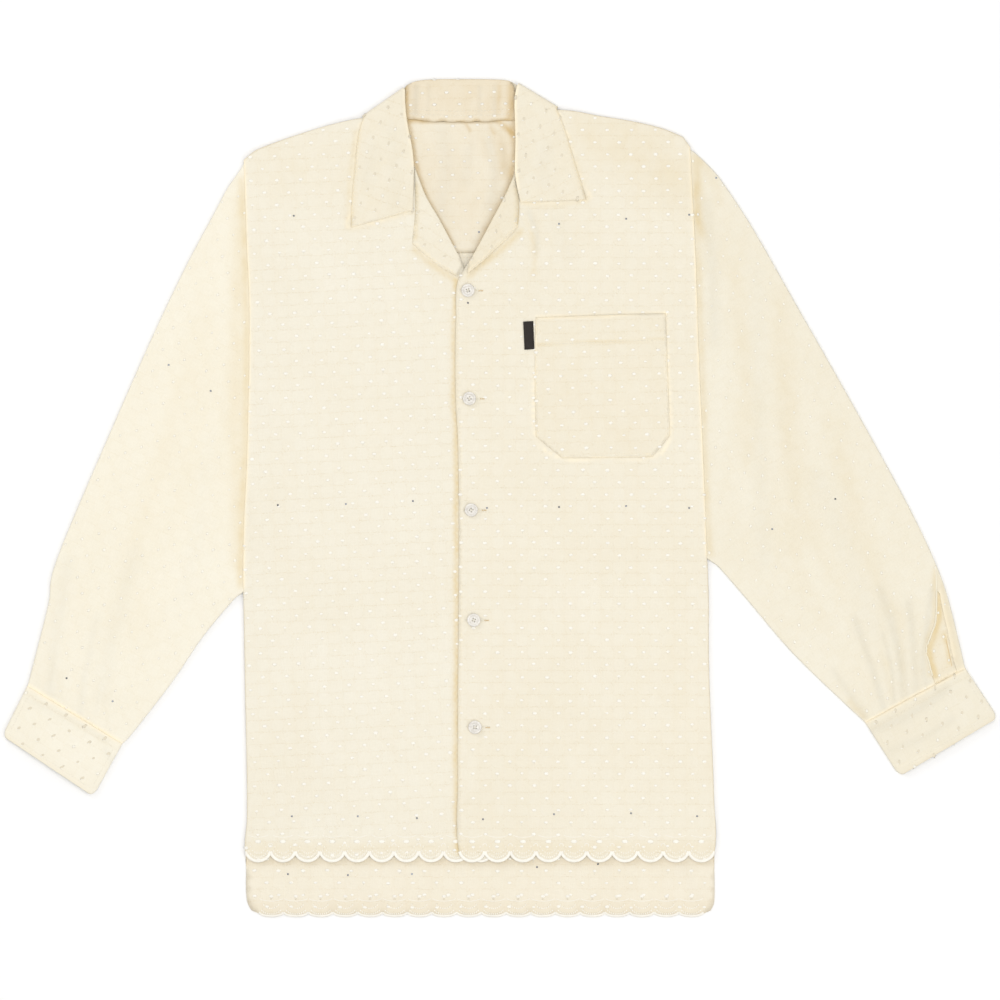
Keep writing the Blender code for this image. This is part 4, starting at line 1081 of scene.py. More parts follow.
def build_left_front():
    def radius(x, y):
        return ROLL_RADIUS if x < 40 else seam_radius(x, y)

    side = edge_points(RIGHT_EDGE, RIGHT_UNDERARM, -1, arm=0.45)
    side[0] = (*side[0][:2], -1)
    side[-1] = (221.8, FRONT_HEM_Y, -1)
    shoulder = [(x, y, -1) for x, y in RIGHT_SHOULDER]
    neck = [(38.5, 372, 0), (37.6, 352, 0), (36.2, 330, 0), (35, 314, 0)]
    roll = [(33.3, 303.4, 0.5), (26.3, 287.6, 1), (13, 262.5, 1), (-2.2, 234, 1)]
    hem = scallops(*FRONT_HEMS["left_front"], FRONT_SCALLOPS, FRONT_HEM_Y, FRONT_SCALLOP)[1:]
    front = [(-8.5, 223.5, 0), (*BREAK, 0)] + [(x, y, 0) for x, y in FRONT_EDGE]
    on_underlap = over("right_front", lambda x, y: np.full(np.shape(x), -9.0), CLOTH + 0.1)
    return panel("left_front", front + hem + side[::-1] + shoulder + neck + roll,
                 lambda x, y: np.maximum(left_front_z(x, y), on_underlap(x, y)), COTTON, radius,
                 step=3.6, spacing=3.6, warm=shade_of(FRONT_CREASES, LEFT_FRONT_SHADE))


def lapel_height(base, a, b):
    (ax, ay), (bx, by) = a, b
    length = math.hypot(bx - ax, by - ay)

    def height(x, y):
        across = np.abs((x - ax) * (by - ay) - (y - ay) * (bx - ax)) / length
        return base(x, y) + CLOTH + 0.12 + (2 * ROLL_RADIUS - CLOTH) * (
            1 - smooth((across - 1.5) / 20.0)) + ripple(x, y, 22, 0.08, 21)
    return height


def build_lapels():
    right = [(-59, 311, -0.5), (-49.2, 286, -1), (-35.7, 262.5, -1), (-22.3, 237.3, -1),
             (-17.8, 228.8, 0), (-14.6, 220.6, 0), (-20.3, 210.6, 0), (-36.5, 219.6, 0),
             (-61.8, 240.6, 0), (-60, 257, 0), (-59, 271, 0), (-58.7, 292, 0)]
    left = [(33.3, 303.4, -0.5), (26.3, 287.6, -1), (13, 262.5, -1), (-2.2, 234, -1),
            (-8.2, 223.4, 0), (-10, 212.6, 0), (4, 223.8, 0), (18.2, 237.2, 0),
            (32, 250, 0), (37.6, 256.6, 0), (38.7, 278, 0), (37, 289, 0)]
    warm_right = shade_of((), [([(-58.6, 246), (-58, 270), (-57.8, 296)], 2.2, 0.45)])
    warm_left = shade_of((), [([(37, 258), (37.6, 276), (36, 292)], 2.2, 0.4)])
    panel("right_lapel", right, lapel_height(front_z, (-59.0, 311.0), (-22.3, 237.3)), COTTON,
          lambda x, y: ROLL_RADIUS, step=2.6, warm=warm_right)
    panel("left_lapel", left, lapel_height(left_front_z, (33.3, 303.4), (-2.2, 234.0)), COTTON,
          lambda x, y: ROLL_RADIUS, step=2.6, warm=warm_left)


def stand_z(x, y):
    """The band, sewn over the top of the yoke and higher at its fold."""
    bands = sum(h * np.exp(-((x - c) / w) ** 2) for c, w, h in
                ((-57.0, 3.4, -0.5), (2.0, 2.6, -0.35), (15.5, 2.2, -0.3), (-30, 9, 0.2),
                 (26, 5, 0.3)))
    return (FLOOR_Z + PITCH + 0.7 * smooth((y - 362.0) / 24.0) + 0.58 * (1 - smooth((y - 358) / 8))
            + bands * smooth((y - 362) / 8) * smooth((394 - y) / 6))


def build_stand():
    top = [(-61, 392.4, 0), (-55.5, 393.8, -1), (-45, 394.8, -1), (-17, 395.2, -1),
           (14, 394.9, -1), (27, 394, -1), (31.5, 392.6, 0)]
    side_right = [(33.2, 389.6, 0), (34.4, 385, 0), (35.6, 379, 0), (36.4, 372, 0),
                  (36.6, 362, 0), (36.4, 356.4, 0)]
    bottom = [(29.6, 356.3, 0), (22, 356.9, 0), (14, 356, 0), (7, 355.1, 0),
              (-1, 355.9, 0), (-9, 354.9, 0), (-17, 355.6, 0), (-25, 354.9, 0),
              (-33, 356, 0), (-41, 355.2, 0), (-49, 356.3, 0), (-57, 357.3, 0),
              (-66, 358.2, 0), (-70.4, 359.4, 0)]
    side_left = [(-70.6, 372, 0), (-69.4, 384.2, 0), (-68.2, 387.4, 0), (-66.6, 389.6, 0)]
    warm = shade_of((), [([(-67, 387), (-67.4, 374), (-66, 360)], 2.2, 0.6),
                         ([(-68, 359), (-45, 356.4), (-17, 355.6), (16, 356.4), (34, 357)], 0.9,
                          0.5),
                         ([(32, 388), (32.5, 374), (31, 361)], 4.6, 0.5),
                         ([(20, 388), (19, 362)], 2.0, 0.25)])
    return panel("collar_stand", top + side_right + bottom + side_left, stand_z, COTTON_INSIDE,
                 lambda x, y: 1.0, step=2.2, warm=warm)


LEAF_GAP = 0.05
FOLD_R = (2 * PITCH + LAYERS_NECK + LEAF_GAP) / 2
FOLD_Z = FLOOR_Z + FOLD_R
LEAF_RIGHT = [((-61.5, 271.9), (-119.4, 256)), ((-60.6, 291.4), (-119.2, 270)),
              ((-60.3, 304.6), (-117.6, 294)), ((-60.3, 314), (-116, 310)),
              ((-62, 331), (-114.4, 326)), ((-65.3, 348), (-112.6, 341)),
              ((-67.4, 361), (-110.8, 350)), ((-68.6, 375), (-109, 355))]
LEAF_LEFT = [((40, 279.6), (101.6, 282)), ((37.2, 291.4), (97.8, 296)),
             ((35.2, 304.6), (92.6, 312)), ((34.8, 314), (88.8, 325)),
             ((35.3, 338), (83.4, 343)), ((34.8, 358), (79.6, 354)),
             ((34.4, 372), (77, 360)), ((35.2, 382), (75, 364))]
FOLD_RIGHT = ((-68.7, 385.6), (-107.5, 358.6))
FOLD_LEFT = ((37, 389.6), (74, 367.2))
FALL = [((-66.8, 389.8), (-100, 352.5)), ((-61, 392.4), (-88, 346.6)),
        ((-55.5, 393.8), (-73, 340.4)), ((-45, 394.8), (-50, 333.8)),
        ((-31, 395.1), (-33, 331.6)), ((-17, 395.2), (-17, 331)),
        ((-1, 395.1), (0, 332.4)), ((14, 394.9), (18, 335.6)),
        ((27, 394), (40, 343.4)), ((31.5, 392.6), (54, 351.4)),
        ((35, 390.9), (66, 361.4))]


def finer(pairs, steps):
    """Pairs of end points spaced more closely along both of their lines."""
    inner = bend([p[0] for p in pairs], steps)
    outer = bend([p[1] for p in pairs], steps)
    return list(zip(inner, outer))


def collar_row(inner, outer, centre, face, roll):
    inner, outer = np.array(inner, float), np.array(outer, float)
    way = (outer - inner) / np.linalg.norm(outer - inner)
    face = np.array(face, float)
    row, reach = [], 0.0
    for inset, rise in roll_profile(1.0):
        p = inner + way * inset
        reach = inset
        row.append(centre(p[0], p[1]) - face * roll * rise)
    length = np.linalg.norm(outer - inner)
    for t in np.linspace(0, 1, 22)[1:]:
        p = inner + way * (reach + (length - reach) * t)
        row.append(centre(p[0], p[1]))
    return [tuple(p) for p in row]


def wrap_rows(ends, outward, angles):
    rows = []
    for angle in angles:
        a = math.radians(angle)
        push = np.array([outward[0] * math.sin(a), outward[1] * math.sin(a), math.cos(a)])
        rows.append(collar_row(*ends, lambda x, y, p=push: np.array([x, y, FOLD_Z]) + FOLD_R * p,
                               push, 0.0))
    return rows


def build_collar():
    """One piece of cloth: a leaf on each front, over the shoulders to the fall behind."""
    on_right = over("right_front", front_z, CLOTH + 0.1)
    on_left = over("left_front", left_front_z, CLOTH + 0.1)

    def leaf(x, y):
        right = x < FALL_X
        on = on_right if right else on_left
        z = on(np.array([x]), np.array([y]))[0]
        outer = fall_distance(x, y)
        rolled_edge = (((-22.3, 237.3), (-59.0, 311.0), (-67.4, 361.0), (-68.7, 385.6)) if right
                       else ((-2.2, 234.0), (33.3, 303.4), (35.3, 338.0), (37.0, 389.6)))
        from_roll = float(near_path(x, y, rolled_edge))
        lift = max((PITCH - CLOTH - 0.1 + LEAF_GAP) * float(1 - smooth((outer - 0.75) / 0.5)),
                   1.45 * float(1 - smooth((from_roll - 1.5) / 20))
                   * float(1 - smooth((y - 322) / 24)))
        soft = 0.35 * float(smooth((y - 268) / 14) * smooth((352 - y) / 30))
        return np.array([x, y, z + lift + soft * (0.6 + float(ripple(x, y, 30, 0.5, 33)))])

    def rolled(y):
        return float(smooth((y - 306.0) / 30.0))

    def fall(x, y):
        return np.array([x, y, FLOOR_Z])

    rows = [collar_row(i, o, leaf, (0, 0, 1), rolled(i[1])) for i, o in finer(LEAF_RIGHT, 5)]
    for ends, side in ((FOLD_RIGHT, 1), (FOLD_LEFT, -1)):
        line = np.array(ends[1], float) - np.array(ends[0], float)
        line /= np.linalg.norm(line)
        outward = np.array([-line[1], line[0]])
        outward *= np.sign(outward[1])
        angles = tuple(range(0, 181, 15))
        if side == 1:
            rows += wrap_rows(ends, outward, angles)
            fine = finer(FALL, 4)
            share = np.linspace(0, 1, len(fine))
            curl = smooth(share / 0.2) * smooth((1 - share) / 0.2)
            rows += [collar_row(i, o, fall, (0, 0, -1), c) for (i, o), c in zip(fine, curl)]
        else:
            rows += wrap_rows(ends, outward, angles[::-1])
    rows += [collar_row(i, o, leaf, (0, 0, 1), rolled(i[1])) for i, o in finer(LEAF_LEFT[::-1], 5)]

    def grain(x, y):
        left = x > FALL_X
        return (np.where(left, x * 0.9 + y * 0.42, x * 0.94 - y * 0.33),
                np.where(left, y * 0.9 - x * 0.42, y * 0.94 + x * 0.33))
    last = len(rows[0]) - 1
    # painted warm shade along the collar's rolled inner edge and its outer edge
    warm = [[0.4 * math.exp(-(k / 2.2)) + 0.45 * math.exp(-((last - k) / 0.7))
             for k in range(last + 1)] for _ in rows]
    return grid_cloth("collar", rows, COTTON, grain, warm)


def spaced(table, shares):
    pts = np.array(table, float)
    steps = np.concatenate([[0], np.cumsum(np.linalg.norm(np.diff(pts, axis=0), axis=1))])
    at = np.array(shares) * steps[-1]
    return np.stack([np.interp(at, steps, pts[:, 0]), np.interp(at, steps, pts[:, 1])], axis=1)


def tube(name, outer, lower, shares, across, height, radius, floor, grain, tint, wall=CLOTH,
         slip=None):
    """A flattened tube through rings; height(x, y, s, t) is its upper layer, s the ring's share."""
    outer, lower = np.array(outer, float), np.array(lower, float)
    way = lower - outer
    way /= np.linalg.norm(way, axis=1)[:, None]
    r, floor = np.asarray(radius)[:, None], np.asarray(floor)
    start, end = outer + way * r, lower - way * r
    t, s = np.meshgrid(across, shares)
    top = start[:, None] + (end - start)[:, None] * t[..., None]
    z = height(top[..., 0], top[..., 1], s, t)
    parts = [(top[..., 0], top[..., 1], z)]
    turns = np.radians([22, 45, 67, 90, 113, 135, 158])

    def side(at, high, out, angles):
        p = at[:, None] + out[:, None] * r[:, None] * np.sin(angles)[None, :, None]
        mid, half = (high + floor)[:, None] / 2, (high - floor)[:, None] / 2
        return p[..., 0], p[..., 1], mid + half * np.cos(angles)[None]
    parts.append(side(end, z[:, -1], way, turns))
    under = np.linspace(0, 1, 27)[1:-1]
    low = end[:, None] + (start - end)[:, None] * under[None, :, None]
    parts.append((low[..., 0], low[..., 1], np.repeat(floor[:, None], len(under), axis=1)))
    parts.append(side(start, z[:, 0], -way, turns[::-1]))
    x, y, z = (np.concatenate([part[k] for part in parts], axis=1) for k in range(3))
    if slip is not None:
        x = x + slip(x, y, np.asarray(shares)[:, None])
    warm = tint(x, y, np.repeat(np.asarray(shares)[:, None], x.shape[1], axis=1))
    warm[:, len(across):] *= 0.4
    rows = [list(zip(*row)) for row in zip(x.tolist(), y.tolist(), z.tolist())]
    return grid_cloth(name, rows, COTTON_SLEEVE, grain, warm, closed=True, wall=wall)


def inner_end(a, b, reach=3.0):
    """A point a little past b, inside the cuff."""
    long = math.dist(a, b)
    return b[0] + (b[0] - a[0]) * reach / long, b[1] + (b[1] - a[1]) * reach / long


def build_sleeve(name, outer_table, lower_table, edge, creases, puckers, grain, seed, shades):
    """A flattened tube, full between its ends, with soft folds and gathers at the cuff."""
    shares = np.concatenate([[0.0, 0.004, 0.008, 0.012], np.linspace(0.016, 0.06, 8)[:-1],
                             np.linspace(0.06, 0.8, 88)[:-1], np.linspace(0.8, 1.0, 46)])
    across = 0.5 - 0.5 * np.cos(np.linspace(0.12, math.pi - 0.12, 66)) / math.cos(0.12)
    outer = spaced(bend(outer_table, 6) + [inner_end(*outer_table[-2:])], shares)
    lower = spaced(bend(lower_table, 6) + [inner_end(*lower_table[-2:])], shares)
    shade = shade_of(creases + puckers, shades, 0.05)
    room = 2.6 + 0.5 * smooth(shares / 0.12)
    inward = 1 if outer[0][0] < 0 else -1

    def height(x, y, s, t):
        full = 1.5 * smooth(s / 0.25) * (1 - 0.55 * smooth((s - 0.7) / 0.3))
        gather = 0.2 * smooth((s - 0.86) / 0.12)
        free = np.minimum(np.minimum(7 * t, 7 - 7 * t), 1)
        near_arm = 0.15 + 0.85 * smooth(s / 0.07)
        soft = ripple(x, y, 40, 0.28, seed) + ripple(x, y, 16, 0.08, seed + 1)
        pleats = gather * np.cos(2 * math.pi * 9 * t + 1.3 * np.sin(7 * t + seed))
        raised = (0.5 * folds(x, y, creases) + soft) * near_arm + 0.75 * folds(x, y,
                                                                               puckers) + pleats
        over_top = np.sin(math.pi * np.clip(t, 0, 1)) ** 0.7
        ends = 1 - smooth((s - 0.975) / 0.02)
        return (FLOOR_Z + 2.6 + 0.5 * smooth(s / 0.12) * ends
                + (full * over_top + free * raised) * (0.3 + 0.7 * ends))

    def slip(x, y, s):
        """The head of the sleeve follows the armhole and tucks in under the front."""
        line = np.interp(-y, [-outer[0][1], -lower[0][1]], [outer[0][0], lower[0][0]])
        tuck = 4.3 * np.clip(1 - s / 0.012, 0, 1)
        off = along(edge, y) - inward * 0.3 - line
        away = np.minimum(s / 0.012, 1) * 4.0
        return off * (1 - smooth((s - 0.012) / 0.2)) + inward * (tuck + away * (
            1 - smooth((s - 0.012) / 0.06)))

    floor = FLOOR_Z + 0.75 * np.clip(1 - shares / 0.010, 0,
                                     1) + 0.9 * smooth((shares - 0.984) / 0.008)
    return tube(name, outer, lower, shares, across, height, room / 2, floor, grain,
                lambda x, y, s: shade(x, y), slip=slip)


def build_cuff(name, outer_table, lower_table, grain, seed):
    """Band of doubled cloth; rounded corners at the hand."""
    shares = np.concatenate([np.linspace(0, 0.8, 30)[:-1], np.linspace(0.8, 1.0, 22)])
    across = np.linspace(0.01, 0.99, 72)
    outer, lower = spaced(outer_table, shares), spaced(lower_table, shares)
    left = (1 - shares) * math.dist(outer_table[0], outer_table[-1])
    inset = 0.6 * (CUFF_CORNER - np.sqrt(np.maximum(
        CUFF_CORNER ** 2 - np.maximum(CUFF_CORNER - left, 0) ** 2, 0)))
    way = (lower - outer) / np.linalg.norm(lower - outer, axis=1)[:, None]
    outer, lower = outer + way * inset[:, None], lower - way * inset[:, None]

    def height(x, y, s, t):
        soft = ripple(x, y, 18, 0.16, seed) + ripple(x, y, 7, 0.05, seed + 3)
        seam = -0.35 * np.exp(-(s / 0.03) ** 2) + 0.2 * np.exp(-((1 - s) / 0.06) ** 2)
        stitched = 0.16 * np.exp(-((s - 0.13) / 0.03) ** 2)
        free = np.minimum(np.minimum(5 * t, 5 - 5 * t), 1)
        return (CLOTH + 3.3 + 0.9 * np.sin(math.pi * t) ** 0.8 + soft * free + seam - stitched)

    # painted warm shade at the seam to the sleeve, along the stitched line and at the hand's edge
    def tint(x, y, s):
        return (0.3 * np.exp(-s / 0.03) + 0.12 * np.exp(-((s - 0.13) / 0.03) ** 2)
                + 0.16 * np.exp(-((1 - s) / 0.05) ** 2))
    return tube(name, outer, lower, shares, across, height, np.full(len(shares), 1.7),
                np.full(len(shares), CLOTH * 0.8), grain, tint, CUFF_WALL)


POCKET = [(54.4, 171.3), (95, 172.7), (136, 174.2), (176.3, 175.2), (178.2, 125),
          (180.4, 60.4), (163.6, 40.4), (121, 39.6), (78.9, 39.3), (54.4, 59.6), (53.4, 121.7)]
TAB = [(42.5, 167.5), (52, 168.2), (53, 141.8), (43.7, 141.1)]


def build_pocket():
    def height(x, y):
        full = np.minimum(smooth((x - 54) / 22) * smooth((180 - x) / 22), smooth((y - 40) / 20))
        hem = 0.35 * smooth((y - 146.5) / 1.6) + 0.25 * np.exp(-((y - 172.8) / 2.2) ** 2)
        creased = fold(x, y, [(70, 168), (74, 120), (70, 60)], 9, 0.5) + fold(
            x, y, [(160, 165), (156, 110), (164, 60)], 12, 0.6) + fold(
            x, y, [(110, 140), (118, 90), (112, 52)], 14, 0.4)
        return on_front(x, y) + 0.45 * full + hem + creased * full
    on_front = over("left_front", left_front_z)
    warm = shade_of((), [([(56, 146.4), (176, 150.9)], 1.1, 0.4)])
    return panel("pocket", [(x, y, 0) for x, y in POCKET], height, COTTON, step=3.0, warm=warm)


def build_tab():
    base = over("left_front", left_front_z, 0.55)
    return panel("label_tab", [(x, y, 0) for x, y in TAB],
                 lambda x, y: base(x, y) + 0.4 * smooth((52 - x) / 8) * (1 + 0.4 * np.sin(y / 5.0)),
                 TAB_BLACK, step=2.4)


SLIT_FOLD = [(430.6, -62), (431.4, -84), (430.6, -112.8), (426, -127), (421.6, -141),
             (424, -152), (427.4, -165)]


def build_placket():
    """Strip at the slit of the left sleeve, between the sleeve's folded edge and its side."""
    strip = [(x - 1, y, 0) for x, y in SLIT_FOLD[1:]] + [(429.4, -172.6, 0), (450.6, -161.4, 0),
             (448, -154, 0), (445.8, -146, 0), (440.5, -120, 0), (436, -100, 0),
             (434, -88, 0)]
    on_sleeve = over("left_sleeve", lambda x, y: np.full(np.shape(x), 3.0), 0.0)

    def base(x, y):
        right = np.interp(-y, (88, 100, 120, 146, 161.4), (434, 436, 440.5, 445.8, 450.6))
        return on_sleeve(x, y) + 0.12 + 0.44 * smooth((right - x) / 5)
    warm = shade_of((), [([(x + 2.0, y) for x, y in SLIT_FOLD], 3.0, 0.75),
                         ([(438, -126), (443, -152)], 2.2, 0.5)])
    return panel("left_sleeve_placket", strip, base, COTTON, step=2.2, warm=warm)


def turned_button():
    """Four-hole button: turned profile with a sunk face, its holes cut through."""
    r, h = BUTTON_RADIUS, BUTTON_HEIGHT
    profile = [(0.0, 0.0), (r - 1.6, 0.0), (r - 0.5, 0.35), (r, 1.0), (r, 1.5), (r - 0.25, 2.1),
               (r - 0.8, h - 0.08), (r - 1.35, h), (r - 1.9, h - 0.15), (r - 2.35, h - 0.7),
               (r - 2.9, h - 1.0), (r - 4.0, h - BUTTON_SINK), (0.0, h - BUTTON_SINK)]
    mesh = bpy.data.meshes.new("button_turned")
    mesh.from_pydata([(px * MM, 0.0, pz * MM) for px, pz in profile], [
        (k, k + 1) for k in range(len(profile) - 1)], [])
    obj = put("button_turned", mesh)
    turned = obj.modifiers.new("turned", "SCREW")
    turned.steps = turned.render_steps = 56
    turned.use_merge_vertices, turned.merge_threshold = True, 0.00001
    drills = []
    for k in range(4):
        a = math.radians(45 + 90 * k)
        ring = [(math.cos(t) * HOLE_RADIUS + HOLE_SPREAD * math.cos(a),
                 math.sin(t) * HOLE_RADIUS + HOLE_SPREAD * math.sin(a))
                for t in np.linspace(0, 2 * math.pi, HOLE_SIDES, endpoint=False)]
        drill = bpy.data.meshes.new("drill")
        verts = [(x * MM, y * MM, z * MM) for z in (-1.0, 4.0) for x, y in ring]
        n = HOLE_SIDES
        faces = [[i, (i + 1) % n, n + (i + 1) % n, n + i] for i in range(n)]
        faces += [list(range(n - 1, -1, -1)), list(range(n, 2 * n))]
        drill.from_pydata(verts, [], faces)
        tool = put("drill", drill)
        cut = obj.modifiers.new("hole", "BOOLEAN")
        cut.operation, cut.solver, cut.object = "DIFFERENCE", "EXACT", tool
        drills.append(tool)
    bpy.context.view_layer.update()
    done = bpy.data.meshes.new_from_object(obj.evaluated_get(bpy.context.evaluated_depsgraph_get()))
    for one in drills + [obj]:
        bpy.data.objects.remove(one)
    return done


def surface_top(name, x, y):
    """Height and normal of a piece's upper layer at a point."""
    hit, normal, _, _ = SURFACES[name].ray_cast((x, y, RAY_TOP), DOWN)
    return (hit.z, normal) if hit is not None else (None, None)


def build_buttons():
    """Five buttons, each turned a little further than the last, and their thread."""
    blank = turned_button()
    threads = []
    for number, (x, y) in enumerate(BUTTONS, 1):
        top, _ = surface_top("left_front", x, y)
        base = top + CLOTH / 2 + 0.35
        mesh = blank.copy()
        mesh.name = f"shirt_button_{number}"
        turn = 0.3 * number
        for v in mesh.vertices:
            px, py = v.co.x, v.co.y
            v.co.x = px * math.cos(turn) - py * math.sin(turn) + x * MM
            v.co.y = px * math.sin(turn) + py * math.cos(turn) + y * MM
            v.co.z += base * MM
        mesh.materials.clear()
        mesh.materials.append(PEARL)
        mesh.shade_smooth()
        obj = put(mesh.name, mesh)
        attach(obj, "root")
        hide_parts(f"button_{number}")
        for k in (0, 1):
            a, b = (turn + math.radians(45 + 90 * k), turn + math.radians(225 + 90 * k))
            rise = base + BUTTON_HEIGHT - BUTTON_SINK + 0.12
            path = []
            for t in np.linspace(0, 1, 9):
                px = HOLE_SPREAD * (math.cos(a) + (math.cos(b) - math.cos(a)) * t)
                py = HOLE_SPREAD * (math.sin(a) + (math.sin(b) - math.sin(a)) * t)
                dip = -1.2 if t in (0, 1) else 0.22 * math.sin(math.pi * t)
                path.append((x + px, y + py, rise + dip + 0.1 * k))
            threads.append(path)
        threads.append([(x, y, top), (x, y, base + 0.3)])
    bpy.data.meshes.remove(blank)
    sew_lines("button_thread", threads, CREAM_THREAD, 0.55, 0.45, sides=6)


def lattice(angle, u0, v0, pitch=22.94, rise=11.47, box=(-460, -400, 500, 400)):
    """Points of the staggered figure over the cloth, turned to its grain."""
    c, s = math.cos(math.radians(angle)), math.sin(math.radians(angle))
    reach, points = 900, []
    for m in range(int(-reach // rise), int(reach // rise) + 1):
        for k in range(int(-reach // pitch), int(reach // pitch) + 1):
            u, v = u0 + pitch * (k + 0.5 * (m % 2)), v0 + rise * m
            x, y = u * c - v * s, u * s + v * c
            if box[0] < x < box[2] and box[1] < y < box[3]:
                points.append((x, y, m % 2))
    return points


def uppermost(x, y, below=False):
    """Name, height and normal of the piece that shows at a point."""
    best = None
    for name, tree in SURFACES.items():
        start, way = ((x, y, RAY_LOW), UP) if below else ((x, y, RAY_TOP), DOWN)
        hit, normal, _, _ = tree.ray_cast(start, way)
        if hit is not None and (best is None or (hit.z < best[1] if below else hit.z > best[1])):
            if normal.z < 0 and not below or normal.z > 0 and below:
                normal = -normal
            best = (name, hit.z, normal)
    return best


def place(x, y, names, proud=0.0, below=False):
    """Point on the outside of the cloth that shows at (x, y), if it is one of the named."""
    found = uppermost(x, y, below)
    if found is None or found[0] not in names:
        return None
    name, z, normal = found
    half = (CUFF_WALL if "cuff" in name else CLOTH) / 2
    return (x + normal.x * (half + proud), y + normal.y * (half + proud),
            z + normal.z * (half + proud)), normal


def dots():
    """White clipped dots of the body, faint ones on the sleeves, and on collar and cuffs sunk ones
    in painted shade with a painted highlight at one rim.
    """
    rng = np.random.default_rng(7)
    white, dull, tails, faint, dimples, dimple_highlights = [], [], [], [], [], []
    body = {"left_front": (22.85, 11.41), "right_front": (23.1, 11.36), "back": (22.85, 11.41),
            "back_yoke": (22.9, 11.4), "collar_stand": (22.4, 11.4), "pocket": (22.9, 11.4)}
    sleeves = {"right_sleeve": (22.9, 11.4), "left_sleeve": (22.9, 11.4),
               "left_sleeve_placket": (22.9, 11.4)}
    sunk = {name: (21.4, 10.9) for name in ("collar", "right_lapel", "left_lapel", "right_cuff",
                                            "left_cuff")}
    for kind, names in ((0, body), (1, sleeves), (2, sunk)):
        for name, (pitch, rise) in names.items():
            angle, u0, v0 = CUTS[name]
            c, s = math.cos(math.radians(angle)), math.sin(math.radians(angle))
            for below in (False, True):
                for x, y, odd in lattice(angle, u0, v0, pitch, rise):
                    x, y = x + rng.normal(0, 0.35), y + rng.normal(0, 0.3)
                    size = rng.uniform(0.8, 1.14)
                    at = place(x, y, (name,), 0.03, below)
                    if at is None:
                        continue
                    if name in ("collar_stand", "back_yoke"):
                        if rng.uniform() < 0.75:
                            dull.append((*at, (-s, c, 0), (size, size, 1)))
                    elif kind == 0:
                        tall = rng.uniform(0.85, 1.1)
                        white.append((*at, (-s, c, 0), (size, size * tall, 1.0)))
                        if odd or rng.uniform() < 0.3:
                            low = place(x + 2.3 * s, y - 2.3 * c, (name,), 0.0, below)
                            if low:
                                tails.append((*low, (-s, c, 0), (1, rng.uniform(0.6, 1.1), 1)))
                    elif kind == 1 and rng.uniform() < 0.8:
                        faint.append((*at, (-s + 0.4 * c, c + 0.4 * s, 0), (size, size, 1)))
                    elif kind == 2:
                        way = (-s + 0.6 * c, c + 0.6 * s, 0)
                        if rng.uniform() < 0.14:
                            faint.append((*at, way, (1.2, 1.2, 1)))
                            continue
                        # darker dot with painted shade in the dimple
                        low = place(x, y, (name,), -0.03, below)
                        dimples.append((*low, way,
                                        (rng.uniform(0.8, 1.15), rng.uniform(0.8, 1.2), 0.8)))
                        # painted highlight: a pale mark on the lit side of each dimple
                        lit = place(x - 1.0, y - 1.5, (name,), -0.02, below)
                        if lit:
                            dimple_highlights.append((*lit, (1, 0.3, 0), (0.9, size, 1)))
    sew_marks("clipped_dots", white, WHITE_THREAD, 4.1, 2.8, 0.55, sides=10, rings=5)
    sew_marks("inner_dots", dull, EDGE_THREAD, 3.7, 2.5, 0.42, sides=8, rings=4)
    sew_marks("dot_tails", tails, CREAM_THREAD, 0.8, 2.6, 0.3, sides=6, rings=4)
    sew_marks("sleeve_dots", faint, SLEEVE_THREAD, 2.3, 2.9, 0.4, sides=8, rings=4)
    sew_marks("sunk_dots", dimples, HOLLOW_SHADE_THREAD, 3.0, 4.6, 0.24, sides=8, rings=4)
    sew_marks("sunk_dot_rims", dimple_highlights, EDGE_THREAD, 0.9, 2.6, 0.3, sides=6, rings=4)


def hem_scallops():
    """(x0, x1, piece) of each scallop of the fronts."""
    for i in range(FRONT_SCALLOPS):
        for name, (start, end) in FRONT_HEMS.items():
            x0 = start + (end - start) * i / FRONT_SCALLOPS
            yield x0, x0 + (end - start) / FRONT_SCALLOPS, name


def on_piece(name, x, y, proud=0.0):
    """Point and normal on top of one piece."""
    top, normal = surface_top(name, x, y)
    if top is None:
        return None
    return (x, y, top + CLOTH / 2 + proud), (normal if normal.z > 0 else -normal)


